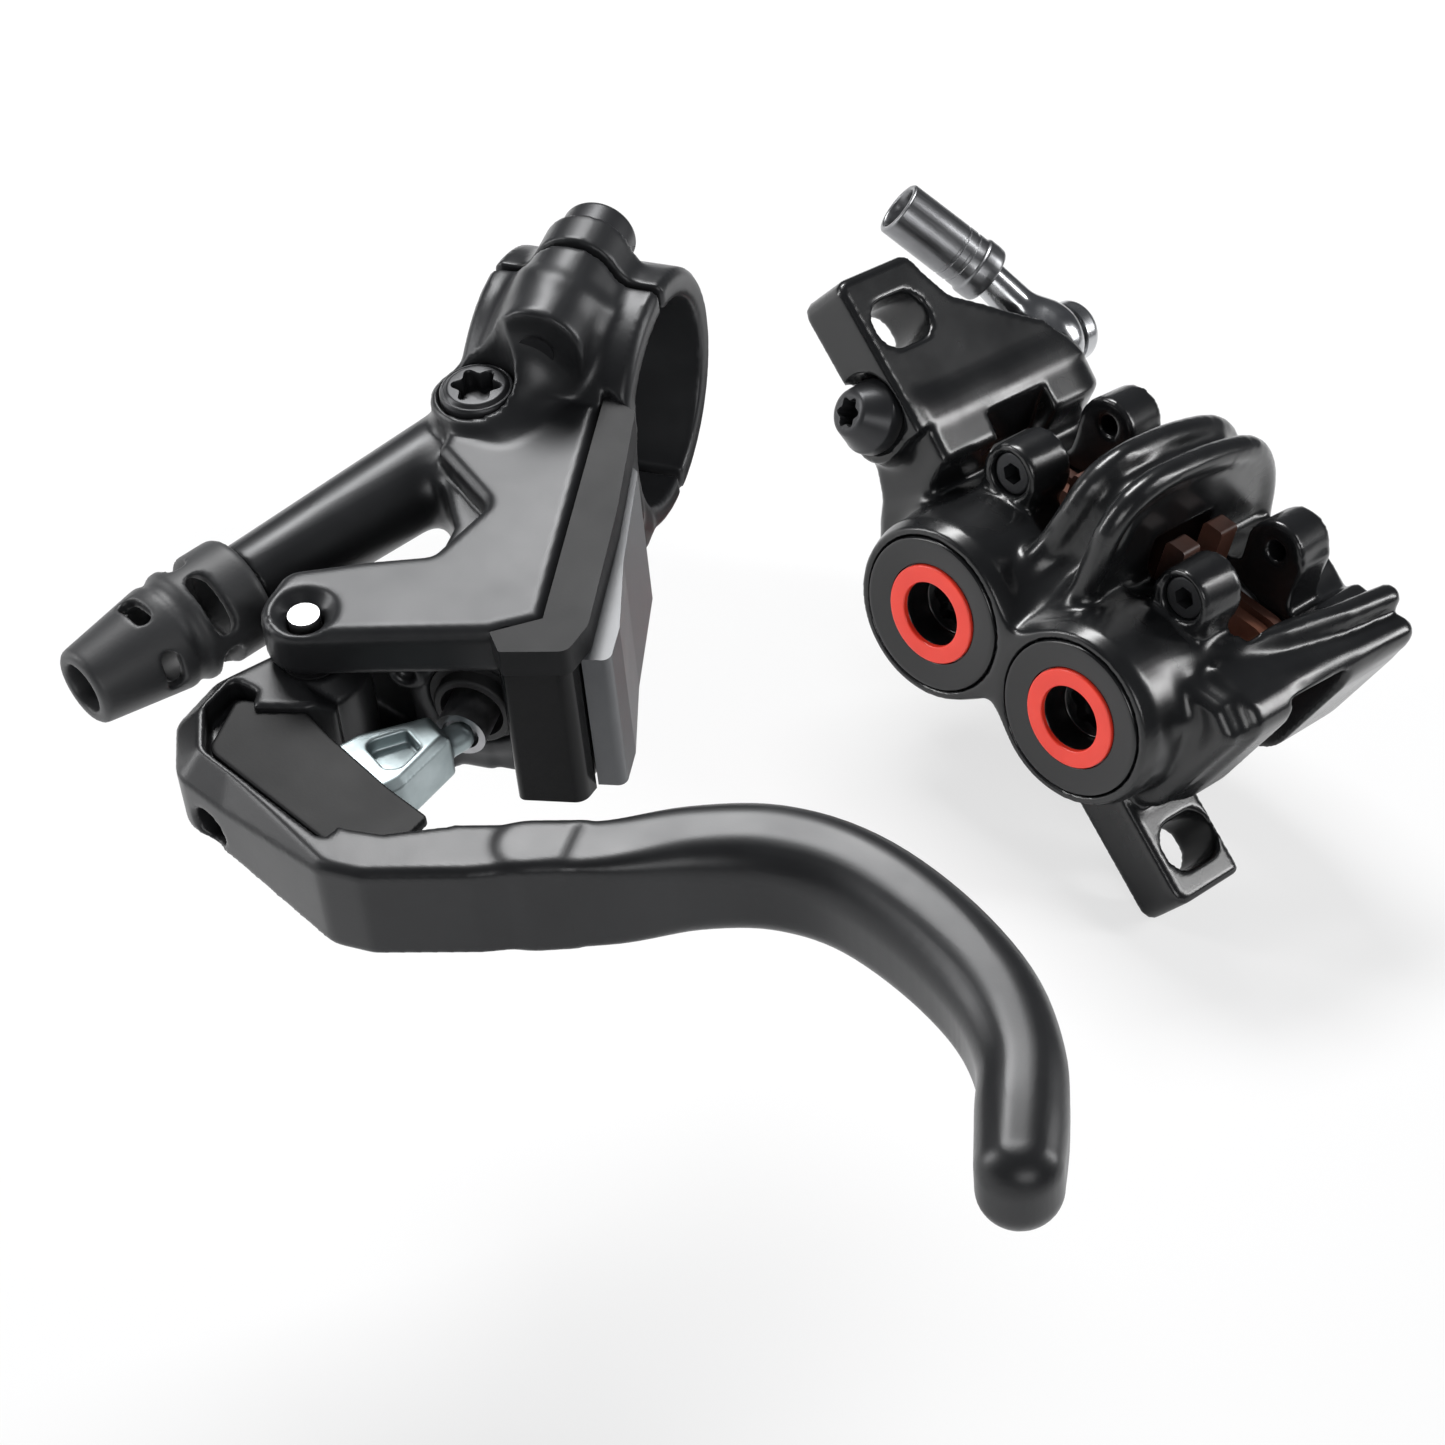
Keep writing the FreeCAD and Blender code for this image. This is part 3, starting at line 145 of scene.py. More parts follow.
def curve_through(points, steps):
    """Smooth run of points through the given ones."""
    last = len(points) - 1
    result = []
    for i in range(last):
        p = [np.array(points[min(max(i + k, 0), last)], float) for k in (-1, 0, 1, 2)]
        for s in range(steps):
            t = s / steps
            result.append(tuple(0.5 * (2 * p[1] + (p[2] - p[0]) * t
                                       + (2 * p[0] - 5 * p[1] + 4 * p[2] - p[3]) * t ** 2
                                       + (3 * p[1] - p[0] - 3 * p[2] + p[3]) * t ** 3)))
    result.append(tuple(points[-1]))
    return result


def polygon(u, v, points):
    """Distance from (u, v) to a closed outline."""
    best = np.float32(FAR_SQUARED)
    inside = np.zeros(np.broadcast(u, v).shape, bool)
    for (ax, ay), (bx, by) in zip(points, points[1:] + points[:1]):
        ex, ey = bx - ax, by - ay
        if ex * ex + ey * ey < 1e-12:
            continue
        t = np.clip(((u - ax) * ex + (v - ay) * ey) / (ex * ex + ey * ey), 0, 1)
        best = np.minimum(best, (u - ax - t * ex) ** 2 + (v - ay - t * ey) ** 2)
        if abs(ey) > 1e-9:
            inside ^= ((ay > v) != (by > v)) & (u < ax + (v - ay) * ex / ey)
    far = np.sqrt(best)
    return np.where(inside, -far, far)


def round_rim(a, b, edge):
    """Where two flat shapes cross, with their shared rim rounded."""
    a, b = a + edge, b + edge
    return np.minimum(np.maximum(a, b), 0) + np.sqrt(np.maximum(a, 0) ** 2 + np.maximum(b, 0) ** 2) - edge


def slab(flat, w, low, high, edge=0.0, bevel=0.0):
    """A flat shape given thickness from low to high, its rim rounded or bevelled."""
    across = np.abs(w - (low + high) / 2) - (high - low) / 2
    if np.ndim(bevel) or bevel:
        return np.maximum(np.maximum(flat, across), (flat + across + bevel) * 0.7071)
    return round_rim(flat, across, edge)


def prism(s, plane, corners, low, high, edge=0.0, bevel=0.0):
    u, v, w = {"XY": (s.x, s.y, s.z), "XZ": (s.x, s.z, s.y), "YZ": (s.y, s.z, s.x)}[plane]
    return slab(polygon(u, v, outline(corners)), w, low, high, edge, bevel)


def rod(s, start, stop, radius, stop_radius=None, edge=0.0):
    a, b = np.array(start, float), np.array(stop, float)
    length = np.linalg.norm(b - a)
    axis = (b - a) / length
    x, y, z = s.x - a[0], s.y - a[1], s.z - a[2]
    t = x * axis[0] + y * axis[1] + z * axis[2]
    radial = np.sqrt(np.maximum(x * x + y * y + z * z - t * t, 0))
    wide = radius if stop_radius is None else radius + (stop_radius - radius) * np.clip(t / length, 0, 1)
    return slab(radial - wide, t, 0, length, edge)


def disc(u, v, centre, radius):
    return np.sqrt((u - centre[0]) ** 2 + (v - centre[1]) ** 2) - radius


def ball(s, centre, radius):
    return np.sqrt((s.x - centre[0]) ** 2 + (s.y - centre[1]) ** 2 + (s.z - centre[2]) ** 2) - radius


def ridge(s, points, radius):
    """A round ridge along a run of points in space."""
    best = np.float32(FAR_SQUARED)
    for a, b in zip(points, points[1:]):
        a, e = np.array(a, float), np.array(b, float) - np.array(a, float)
        t = ((s.x - a[0]) * e[0] + (s.y - a[1]) * e[1] + (s.z - a[2]) * e[2]) / (e @ e)
        t = np.clip(t, 0, 1).astype(np.float32)
        best = np.minimum(best, (s.x - a[0] - t * e[0]) ** 2 + (s.y - a[1] - t * e[1]) ** 2
                          + (s.z - a[2] - t * e[2]) ** 2)
    return np.sqrt(best) - radius


# Pieces: what is shown, which body it rides on and which CAD nodes it stands for.

def piece(name, data, place):
    item = bpy.data.objects.new(name, data)
    bpy.context.scene.collection.objects.link(item)
    item.matrix_world = place
    return item


def finish_piece(item, body, material, slot, *replaced):
    item.data.materials.clear()
    item.data.materials.append(material)
    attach(item, body)
    if replaced:
        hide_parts(*replaced)
    return item


def rounded(profile):
    """A turned profile whose (radius, height, fillet) corners are rounded."""
    points = []
    steps = 4
    for i, corner in enumerate(profile):
        here = Vector(corner[:2])
        if len(corner) < 3 or i in (0, len(profile) - 1):
            points.append(tuple(here))
            continue
        back, ahead = Vector(profile[i - 1][:2]) - here, Vector(profile[i + 1][:2]) - here
        reach = min(corner[2], back.length * 0.5, ahead.length * 0.5)
        first, last = here + back.normalized() * reach, here + ahead.normalized() * reach
        for k in range(steps + 1):
            t = k / steps
            points.append(tuple(first * (1 - t) ** 2 + here * 2 * t * (1 - t) + last * t ** 2))
    return points


def turned(name, profile, place, socket=None):
    """A piece turned about Z. A socket is (first ring, last ring, lobes, depth): rings with a lobed outline."""
    segments = 96
    first, last, lobes, depth = socket or (0, -1, 0, 0)
    mesh = bmesh.new()
    rings = []
    for i, (radius, height) in enumerate(rounded(profile)):
        if radius < 1e-6:
            rings.append([mesh.verts.new((0, 0, height * MM))])
            continue
        ring = []
        for k in range(segments):
            angle = 2 * math.pi * k / segments
            reach = radius
            if first <= i <= last:
                reach *= 1 + depth * math.cos(lobes * angle)
            ring.append(mesh.verts.new((reach * math.cos(angle) * MM, reach * math.sin(angle) * MM, height * MM)))
        rings.append(ring)
    for low, high in zip(rings, rings[1:]):
        if len(low) == 1 and len(high) == 1:
            continue
        for k in range(segments):
            j = (k + 1) % segments
            if len(low) == 1:
                mesh.faces.new((low[0], high[j], high[k]))
            elif len(high) == 1:
                mesh.faces.new((low[k], low[j], high[0]))
            else:
                mesh.faces.new((low[k], low[j], high[j], high[k]))
    bmesh.ops.recalc_face_normals(mesh, faces=mesh.faces)
    data = bpy.data.meshes.new(name)
    mesh.to_mesh(data)
    mesh.free()
    data.shade_smooth()
    data.set_sharp_from_angle(angle=math.radians(34))
    return piece(name, data, place)


def along(base, origin, direction, spin=0.0):
    """A place at the origin whose Z looks along the direction."""
    turn = Vector((0, 0, 1)).rotation_difference(Vector(direction)).to_matrix().to_4x4()
    return base @ Matrix.Translation(Vector(origin) * MM) @ turn @ Matrix.Rotation(math.radians(spin), 4, "Z")


# Materials

def nodes_of(name):
    material = bpy.data.materials.new(name)
    material.use_nodes = True
    tree = material.node_tree
    return material, tree, tree.nodes["Principled BSDF"]


def link(tree, a, out, b, into):
    tree.links.new(a.outputs[out], b.inputs[into])


def noise(tree, scale, detail=4.0, rough=0.55, stretch=None, seed=0.0):
    place = tree.nodes.new("ShaderNodeTexCoord")
    turn = tree.nodes.new("ShaderNodeMapping")
    turn.inputs["Location"].default_value = (seed, seed * 0.7, seed * 1.3)
    if stretch:
        turn.inputs["Scale"].default_value = stretch
    texture = tree.nodes.new("ShaderNodeTexNoise")
    texture.inputs["Scale"].default_value = scale
    texture.inputs["Detail"].default_value = detail
    texture.inputs["Roughness"].default_value = rough
    link(tree, place, "Object", turn, "Vector")
    link(tree, turn, "Vector", texture, "Vector")
    return texture


def roughness_from(tree, shader, source, low, high):
    node = tree.nodes.new("ShaderNodeMapRange")
    node.inputs["From Min"].default_value = 0.3
    node.inputs["From Max"].default_value = 0.7
    node.inputs["To Min"].default_value = low
    node.inputs["To Max"].default_value = high
    link(tree, source, "Fac", node, "Value")
    link(tree, node, "Result", shader, "Roughness")


def colour_from(tree, shader, source, stops):
    ramp = tree.nodes.new("ShaderNodeValToRGB")
    for element, (place, colour) in zip(ramp.color_ramp.elements, stops):
        element.position = place
        element.color = (*colour, 1)
    link(tree, source, "Fac", ramp, "Fac")
    link(tree, ramp, "Color", shader, "Base Color")


def bump_from(tree, shader, source, strength, distance):
    node = tree.nodes.new("ShaderNodeBump")
    node.inputs["Strength"].default_value = strength
    node.inputs["Distance"].default_value = distance
    link(tree, source, "Fac", node, "Height")
    link(tree, node, "Normal", shader, "Normal")


def painted(name, dark, light, roughness, grain, depth, metallic=0.0, gloss=0.5):
    """Coated or moulded surface: two close tones, varied roughness and a fine grain."""
    material, tree, shader = nodes_of(name)
    broad = noise(tree, 90, 3, 0.6)
    fine = noise(tree, grain, 2, 0.6, seed=3.1)
    colour_from(tree, shader, broad, ((0.3, dark), (0.72, light)))
    roughness_from(tree, shader, broad, roughness - 0.035, roughness + 0.045)
    bump_from(tree, shader, fine, 0.35, depth)
    shader.inputs["Metallic"].default_value = metallic
    shader.inputs["Specular IOR Level"].default_value = gloss
    return material


def metal(name, dark, light, roughness, stretch=(1, 1, 1), grain=900, depth=0.00001):
    """Bare metal with fine machining or blasting marks."""
    material, tree, shader = nodes_of(name)
    broad = noise(tree, 140, 4, 0.6)
    marks = noise(tree, grain, 3, 0.6, stretch, 1.7)
    colour_from(tree, shader, broad, ((0.25, dark), (0.75, light)))
    roughness_from(tree, shader, marks, roughness - 0.06, roughness + 0.09)
    bump_from(tree, shader, marks, 0.3, depth)
    shader.inputs["Metallic"].default_value = 1.0
    return material


# name, darkest tone, lightest tone, roughness, grain, depth of the grain in metres
forged = painted("forged_black", (0.0056, 0.0059, 0.0064), (0.0082, 0.0086, 0.0093), 0.25, 3200, 0.000009)
anodised = painted("anodised_black", (0.0032, 0.0034, 0.0038), (0.0048, 0.005, 0.0056), 0.22, 4200, 0.000006)
satin = painted("satin_black", (0.016, 0.0165, 0.018), (0.022, 0.0228, 0.0245), 0.37, 3000, 0.000014,
                metallic=0.35)
blade_black = painted("blade_black", (0.0125, 0.0128, 0.0138), (0.018, 0.0185, 0.02), 0.36, 3400, 0.000014,
                      metallic=0.3)
plastic = painted("sleeve_plastic", (0.021, 0.0215, 0.023), (0.028, 0.0288, 0.0305), 0.5, 2600, 0.00003)
gloss_black = painted("reservoir_gloss", (0.003, 0.0032, 0.0036), (0.005, 0.0052, 0.0058), 0.2, 1500, 0.000006,
                      gloss=0.14)
# painted shade: the recess floor is made darker and less shiny than the blade so that the recess reads as shaded
deck_painted_shade = painted("deck_painted_shade", (0.004, 0.0041, 0.0044), (0.007, 0.0072, 0.0077), 0.45, 3000, 0.00002,
                     gloss=0.12)
strip_black = painted("strip_black", (0.012, 0.0123, 0.013), (0.017, 0.0174, 0.0183), 0.5, 3600, 0.00003,
                      gloss=0.16)
cover_grey = painted("cover_grey", (0.085, 0.088, 0.093), (0.12, 0.124, 0.13), 0.4, 3200, 0.00003, metallic=0.2)
red = painted("ring_red", (0.74, 0.034, 0.018), (0.84, 0.05, 0.026), 0.3, 3800, 0.00001)
rubber = painted("seal_rubber", (0.011, 0.011, 0.0115), (0.018, 0.018, 0.0188), 0.6, 1800, 0.00005)
lining = painted("lining_brown", (0.10, 0.035, 0.02), (0.24, 0.085, 0.045), 0.75, 1500, 0.00012)
pad_steel = painted("pad_steel", (0.05, 0.02, 0.013), (0.12, 0.045, 0.028), 0.5, 1400, 0.00004)
dark_screw = painted("screw_dark", (0.021, 0.0215, 0.0235), (0.032, 0.0327, 0.035), 0.36, 2600, 0.00001,
                     metallic=0.5)
nickel = metal("banjo_nickel", (0.34, 0.345, 0.355), (0.44, 0.445, 0.455), 0.22, grain=260, depth=0.000002)
turned_steel = metal("ferrule_steel", (0.17, 0.172, 0.178), (0.25, 0.253, 0.26), 0.33, (1, 1, 0.04), 2200)
bright_pin = metal("pin_bright", (0.3, 0.305, 0.31), (0.42, 0.42, 0.425), 0.3, grain=700)
cast_metal = metal("cast_link", (0.27, 0.32, 0.33), (0.4, 0.455, 0.465), 0.46, grain=420, depth=0.00006)
piston_metal = metal("piston_metal", (0.3, 0.3, 0.31), (0.42, 0.42, 0.43), 0.35)

# The first row that holds the start of a node's name gives its material.
LOOKS = (
    (nickel, ("banjo",)),
    (turned_steel, ("hose_ferrule", "hose_nut", "hose_olive")),
    (rubber, ("bleed_seal", "dust_boot", "piston_cups", "piston_seals", "plug_seals", "port_seal")),
    (dark_screw, ("bleed_screw", "clamp_screw", "pad_pin", "pivot_bushes", "port_screw")),
    (satin, ("clamp_cap", "hose_arm", "master_body", "pivot_lugs")),
    (piston_metal, ("link_pin", "magnet", "master_piston", "piston", "return_spring", "snap_ring")),
    (anodised, ("bore_plug",)),
    (blade_black, ("blade",)),
    (bright_pin, ("pivot_pin",)),
    (cast_metal, ("push_link",)),
    (cover_grey, ("reservoir_cover",)),
    (forged, ("caliper_body",)),
    (gloss_black, ("reservoir_front",)),
    (lining, ("lining",)),
    (pad_steel, ("pad_plate",)),
    (plastic, ("hose_sleeve",)),
    (red, ("cover_ring",)),
    (strip_black, ("side_strip",)),
)
for name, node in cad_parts.items():
    node.data.materials.clear()
    node.data.materials.append(next(material for material, starts in LOOKS if name.startswith(starts)))
    node.data.shade_smooth()
    node.data.set_sharp_from_angle(angle=math.radians(30))
    edge = node.modifiers.new("edges", "BEVEL")
    edge.width = 0.00022
    edge.segments = 2
    edge.limit_method = "ANGLE"
    edge.angle_limit = math.radians(40)
    edge.harden_normals = False


# Caliper. Outlines hold (x, z) or (y, z) corners, with a radius where the corner is rounded.

EAR_TILT = math.radians(32.2)
BORES_X = (-11.55, 11.55)
BOSS_R, BORE_R, PLUG_SEAT_R = 11.3, 8.55, 10.3
PLUG_SEAT_Y = -17.85
BACK_Y = 19.9
SLOT_HALF = 5.65  # half the width of the rotor slot
ROTOR_Z, ROTOR_R = -92.6, 104.5
WINDOWS = ((-23.8, -5.4), (5.6, 21.2))
PINS_X, PINS_Z = (-14.1, 14.1), 15.3
NEAR_BOSSES = ((13.9, 15.1), (-14.1, 15.4))
FAR_BOSSES = ((15, 15.8), (-13, 16.4))
FAR_HOLES = ((-12.9, 16.9), (15.1, 16))
EAR_SLOTS, EAR_SLOT_Y, EAR_SLOT_R, EAR_SLOT_HALF = (-43.9, 30.3), -11, 3.25, 1.6
BLEED_SEAT, BLEED_OUT = (-31.6, -16.9, 14.4), (-0.325, -0.893, 0.309)
HOSE_X, HOSE_Z, HOSE_FACE_Y = -32.3, 13.3, 13.5
SHELL = [(-25.5, -10.6, 8), (22.4, -12, 5), (29.6, 5.6, 2), (26, 8.6, 1), (21, 8.6, 1), (-22, 8.2, 1), (-28, 2, 4)]
PANEL = [(-24.4, -8), (-20.8, 14.4, 1.5), (-28.5, 20.1, 5), (-35.4, 16.4, 1.5), (-31.6, 8, 6), (-26, -1, 6)]
RIGHT_BRIDGE = [(17, -8), (24, -10.5, 3), (30.6, 7, 2), (28.4, 9, 1.5), (21.1, 10.4, 1)]
RIGHT_RIDGES = (
    [(25.6, 18.2, 10.7), (24.6, 10, 10.6), (22.4, 0, 10.2), (19.8, -8.5, 9.2), (17, -15, 8), (15, -20, 7.6)],
    [(29, 17.9, 7.9), (28.4, 8, 7.8), (27, -2, 7.4), (24.6, -10.5, 6.4), (21.4, -17, 4)])
MIDDLE_WALL = [(-20.5, 0), (19, 0), (19.2, 11, 4), (12.8, 21.4, 6), (-2.8, 23.9, 9), (-12.4, 23.4, 5),
               (-15.4, 12.4, 6), (-20.5, 6.4, 4)]
MIDDLE_RIDGES = (
    [(-5.4, -22, 4.2), (-4.8, -17.6, 8.4), (-3.8, -14.9, 12.8), (-2.9, -14, 17.6), (-2.5, -12.2, 21.8),
     (-2.3, -8.2, 23.9), (-2.3, -2.8, 24), (-2.3, 4, 23.3), (-2.3, 12, 21.2), (-2.3, 16.8, 17.4), (-2.3, 19.2, 12),
     (-2.3, 20, 5)],
    [(2.6, -22, 3.6), (3.2, -18.6, 7), (3.6, -17, 11), (3.8, -16.4, 15.4), (3.8, -15.8, 20.2), (3.8, -13.4, 23.6),
     (3.8, -9, 25), (3.8, -3.4, 25), (3.8, 4, 24.2), (3.8, 11.6, 22.2), (3.8, 16.3, 18), (3.8, 19.2, 12),
     (3.8, 20.2, 5)])
UPPER_EAR = [(-51.4, -18.1, 2), (-30, -18.1), (-30, 15.6), (-36.6, 11.8), (-38.2, 8.9, 6), (-41.8, 3.2, 4),
             (-44.4, -1.2, 3), (-48.6, -3.4, 2), (-51.4, -4.4, 2)]
LOWER_EAR = [(12, -17.8), (36.9, -17.8, 2), (36.9, -0.6, 2), (12, -0.6)]


def caliper():
    s = Solid((-52, -27, -35), (39, 26, 29.5), 0.5)
    # Along and across the tilted ears
    m = s.x * math.cos(EAR_TILT) - s.z * math.sin(EAR_TILT)
    h = s.x * math.sin(EAR_TILT) + s.z * math.cos(EAR_TILT)
    # Lower shell, left panel, right bridge and the ridges that run down into the lower boss
    s.add(prism(s, "XZ", SHELL, -16.6, 18.2, 1.6))
    panel = prism(s, "XZ", PANEL, -16.3, 30, 1.2)
    s.add(-smaller(-panel, 19 - s.y, 8), 2.4)
    s.add(prism(s, "XZ", RIGHT_BRIDGE, -13, 18.6, 1), 2.2)
    for run in RIGHT_RIDGES:
        s.add(ridge(s, run, 1.7), 1.4)
    s.keep(s.y - BACK_Y)
    # Front face with its crisp rim round both bores, and the bosses behind it
    front = smaller(*[disc(s.x, s.z, (x, 0), BOSS_R) for x in BORES_X], 6.5)
    s.add(slab(front, s.y, -24.35, -12, bevel=0.45), 1.2)
    for x in BORES_X:
        s.add(rod(s, (x, -22, 0), (x, 2, 0), BOSS_R, 11.6), 3)
        s.add(rod(s, (x, 0, 0), (x, 19.5, 0), BOSS_R, edge=1.4), 1.6)
    # Middle bridge: a wall with two ridges, flaring out between the bosses
    s.add(prism(s, "YZ", MIDDLE_WALL, -4.4, 5, 1.6), 3)
    for run in MIDDLE_RIDGES:
        s.add(ridge(s, curve_through(run, 3), 1.75), 1.5)
    # Pin bosses on both sides of the windows, each on a wall that reaches down to the shell
    for near, far in zip(NEAR_BOSSES, FAR_BOSSES):
        x, z = near
        s.add(rod(s, (x, -12.05, z), (x + 0.5, -4.65, z + 0.4), 3.95, 4.35, edge=0.25), 0.5)
        wall = [(x - 4.2, 5), (x + 4.6, 5), (x + 4.2, z), (x - 3.9, z)]
        s.add(prism(s, "XZ", wall, -11.7, -4.65, 0.6), 1.4)
        x, z = far
        s.add(rod(s, (x, 4.65, z), (x - 0.4, 12.6, z - 0.3), 4.2, 3.9, edge=0.25), 0.5)
        wall = [(x - 4.4, 5), (x + 4.6, 5), (x + 4.1, z), (x - 3.9, z)]
        s.add(prism(s, "XZ", wall, 4.65, 12.2, 0.6), 1.4)
    # Flange of the bleed port and the boss of the hose fitting
    s.add(rod(s, (-29.2, -10.4, 12.2), BLEED_SEAT, 5.6, edge=0.3), 1.6)
    s.add(rod(s, (HOSE_X, 4, HOSE_Z), (HOSE_X, HOSE_FACE_Y, HOSE_Z), 5.2, edge=0.6), 2)
    # Ears
    s.add(slab(polygon(m, s.y, outline(UPPER_EAR)), h, -6.5, 1.5, bevel=0.5), 0.8)
    s.add(slab(polygon(m, s.y, outline(LOWER_EAR)), h, -6.5, 0.8, bevel=0.5), 0.8)
    # Rotor slot, the space for the pads, and their windows
    s.cut(slab(disc(s.x, s.z, (0, ROTOR_Z), ROTOR_R), s.y, -SLOT_HALF, SLOT_HALF), 0.4)
    pads_low, pads_high = WINDOWS[0][0], WINDOWS[1][1]
    room = [(pads_low, 2), (pads_high, 2), (pads_high, 15.6, 1), (pads_low, 15.6, 1)]
    s.cut(prism(s, "XZ", room, -SLOT_HALF, SLOT_HALF), 0.3)
    for low, high in WINDOWS:
        s.cut(prism(s, "XZ", [(low, 7), (high, 7), (high, 32), (low, 32)], -SLOT_HALF, SLOT_HALF), 0.3)
    # Bores, pin holes, ear slots and ports
    for x in BORES_X:
        s.cut(rod(s, (x, -25, 0), (x, 15.5, 0), BORE_R))
        s.cut(rod(s, (x, -26, 0), (x, PLUG_SEAT_Y, 0), PLUG_SEAT_R), 0.15)
    for x in PINS_X:
        s.cut(rod(s, (x, -13, PINS_Z), (x, 0, PINS_Z), 1.85), 0.2)
        s.cut(rod(s, (x, -13, PINS_Z), (x, -8.85, PINS_Z), 2.9), 0.2)
    for x, z in FAR_HOLES:
        s.cut(rod(s, (x, 0, z), (x, 9.5, z), 1.3), 0.2)
    for middle in EAR_SLOTS:
        beyond = np.maximum(np.abs(s.y - EAR_SLOT_Y) - EAR_SLOT_HALF, 0)
        s.cut(disc(m, beyond, (middle, 0), EAR_SLOT_R), 0.3)
    s.cut(rod(s, BLEED_SEAT, (-34.2, -24, 16.9), 5.2), 0.2)
    s.cut(rod(s, (-29.3, -10.5, 12.2), (-31.7, -17.2, 14.5), 2.6))
    s.cut(rod(s, (HOSE_X, 6, HOSE_Z), (HOSE_X, 14, HOSE_Z), 3))
    s.cut(rod(s, (HOSE_X, HOSE_FACE_Y, HOSE_Z), (HOSE_X, 22, HOSE_Z), 6.4), 0.2)
    finish_piece(s.mesh("caliper_forging", CALIPER), "housings", forged, "forged_black", "caliper_body")


# Turned profiles hold (radius, height) corners, with a fillet where the corner is rounded.
PLUG = [(0, 0), (9, 0), (9, 2.6), (10.2, 2.6), (10.2, 6.15, 0.3), (10.05, 6.5, 0.3), (9.7, 6.6, 0.3),
        (6.65, 6.3, 0.1), (6.6, 5.9), (4.3, 5.9, 0.2), (4.2, 5.4, 0.3), (4.2, 2, 0.3), (2.9, 1.9), (2.9, 1.8),
        (2.4, 0.7), (0, 0.7)]
COVER_RING = [(4.26, 5.92), (6.5, 5.92), (6.5, 6.62, 0.25), (4.26, 6.62, 0.25), (4.26, 5.92)]
BLEED_CAP = [(0, -6), (2.45, -6), (2.45, 0.8), (4.8, 0.8), (4.8, 2.1, 0.4), (4.5, 2.5, 0.3), (2.9, 5.2, 0.5),
             (2.3, 5.4, 0.2), (1.78, 5.35), (1.7, 5.1), (1.7, 3), (0, 2.8)]

caliper()
for label, bore_x in zip(("upper", "lower"), BORES_X):
    seat = along(CALIPER, (bore_x, PLUG_SEAT_Y, 0), (0, -1, 0), 8)
    plug = turned(f"plug_{label}", PLUG, seat, (40, 42, 6, 0.14))
    finish_piece(plug, "housings", anodised, "satin_black", f"bore_plug_{label}")
    ring = turned(f"ring_{label}", COVER_RING, seat)
    finish_piece(ring, "housings", red, "red", f"cover_ring_{label}")
screw = turned("bleed_cap", BLEED_CAP, along(CALIPER, BLEED_SEAT, BLEED_OUT, 12), (24, 26, 6, 0.15))
finish_piece(screw, "housings", dark_screw, "dark_steel", "bleed_screw")


# Hose fitting of the caliper: a ball-shaped eye with a neck, its bolt and the ferrule

FITTING = Vector((-0.734, -0.522, 0.435)).normalized()
NECK = Vector((-32.1, 19.15, 14.9))
EYE_Z = 13.9
FERRULE = [(2.4, 0), (3.7, 0, 0.3), (3.95, 0.35, 0.2), (4.05, 1.2, 0.2), (4.05, 2.6, 0.3), (3.75, 2.9, 0.2),
           (3.75, 4.1), (3.6, 4.2), (3.6, 4.6), (3.75, 4.7), (3.75, 5.7), (3.6, 5.8), (3.6, 6.1), (3.75, 6.2),
           (3.7, 15, 0.3), (3.45, 15.2, 0.15), (2.95, 15.2, 0.2), (2.65, 14.4), (2.65, 3), (0, 3)]
BANJO_BOLT = [(0, -7), (2.85, -7), (2.85, 7.9), (4.1, 8), (4.1, 9.9, 0.5), (3.6, 10.6, 0.4), (2.1, 10.6), (2, 10.4),
              (2, 8.4), (0, 8.3)]


def banjo():
    s = Solid((-44, 10, 6), (-25, 25, 25), 0.2)
    s.add(rod(s, (HOSE_X, 14.1, 13.5), (HOSE_X, 21.2, EYE_Z), 5.2, edge=3.2))
    s.add(rod(s, (HOSE_X, 18.2, EYE_Z), NECK + FITTING * 12.5, 2.9, 2.4), 2.2)
    s.cut(rod(s, (HOSE_X, 10, HOSE_Z), (HOSE_X, 25, HOSE_Z), 2.95))
    finish_piece(s.mesh("banjo_eye", CALIPER), "housings", nickel, "steel", "banjo", "banjo_washers")


banjo()
barrel = turned("ferrule", FERRULE, along(CALIPER, NECK + FITTING * 12, FITTING))
finish_piece(barrel, "housings", turned_steel, "steel", "hose_ferrule", "hose_nut", "hose_olive")
seat = along(CALIPER, (HOSE_X, HOSE_FACE_Y, HOSE_Z), (0, 1, 0), 10)
bolt = turned("banjo_screw", BANJO_BOLT, seat, (14, 16, 6, 0.15))
finish_piece(bolt, "housings", nickel, "steel", "banjo_bolt")


# Lever housing. The pivot's axis is the Z axis, and the top of the plate lies at 0.

BAR_Y, BAR_Z, BAR_R = 46.8, -8.4, 11.1
RING_R, RING_LOW_X, RING_HIGH_X = 14.1, 2.6, 21.2
SCREWS_X, SCREWS_OFFSET, SCREW_HEAD_Y = 11.8, 13.7, 53
SIDES = (("upper", 1), ("lower", -1))
CYLINDER_X, CYLINDER_Z = 15.6, -11.6
PORT_X, PORT_Y = 5.9, 33.4
HOUSING_R = 4.9  # of the screw barrels, the port's boss and the rib beside it
FRONT_Y = 2.9
ARM_ANGLE, ARM_LENGTH = math.radians(59.7), 22.6
HOSE = Vector((-math.cos(ARM_ANGLE), -math.sin(ARM_ANGLE), 0))
HOSE_EXIT = Vector((0.7, 27.5, -6.6))
PLATE = [(-5.2, -5, 4.2), (18.8, 1.4, 0.4), (23.3, 4.3, 0.6), (18.3, 36.8), (9.2, 36.8), (4.2, 31), (4.2, 25.8, 1),
         (12.1, 19.1, 1.6), (9.3, 10.9, 1.6), (3.4, 8.7, 2), (-4.1, 5.3, 2.4)]
STRIP = [(18.9, 1.2), (20.8, -1.2, 0.4), (27.2, 0.4, 1.4), (28, 4.3, 3), (25.4, 20.3, 20), (22.3, 35.2, 1.4),
         (18.3, 36.9), (23.3, 4.2)]
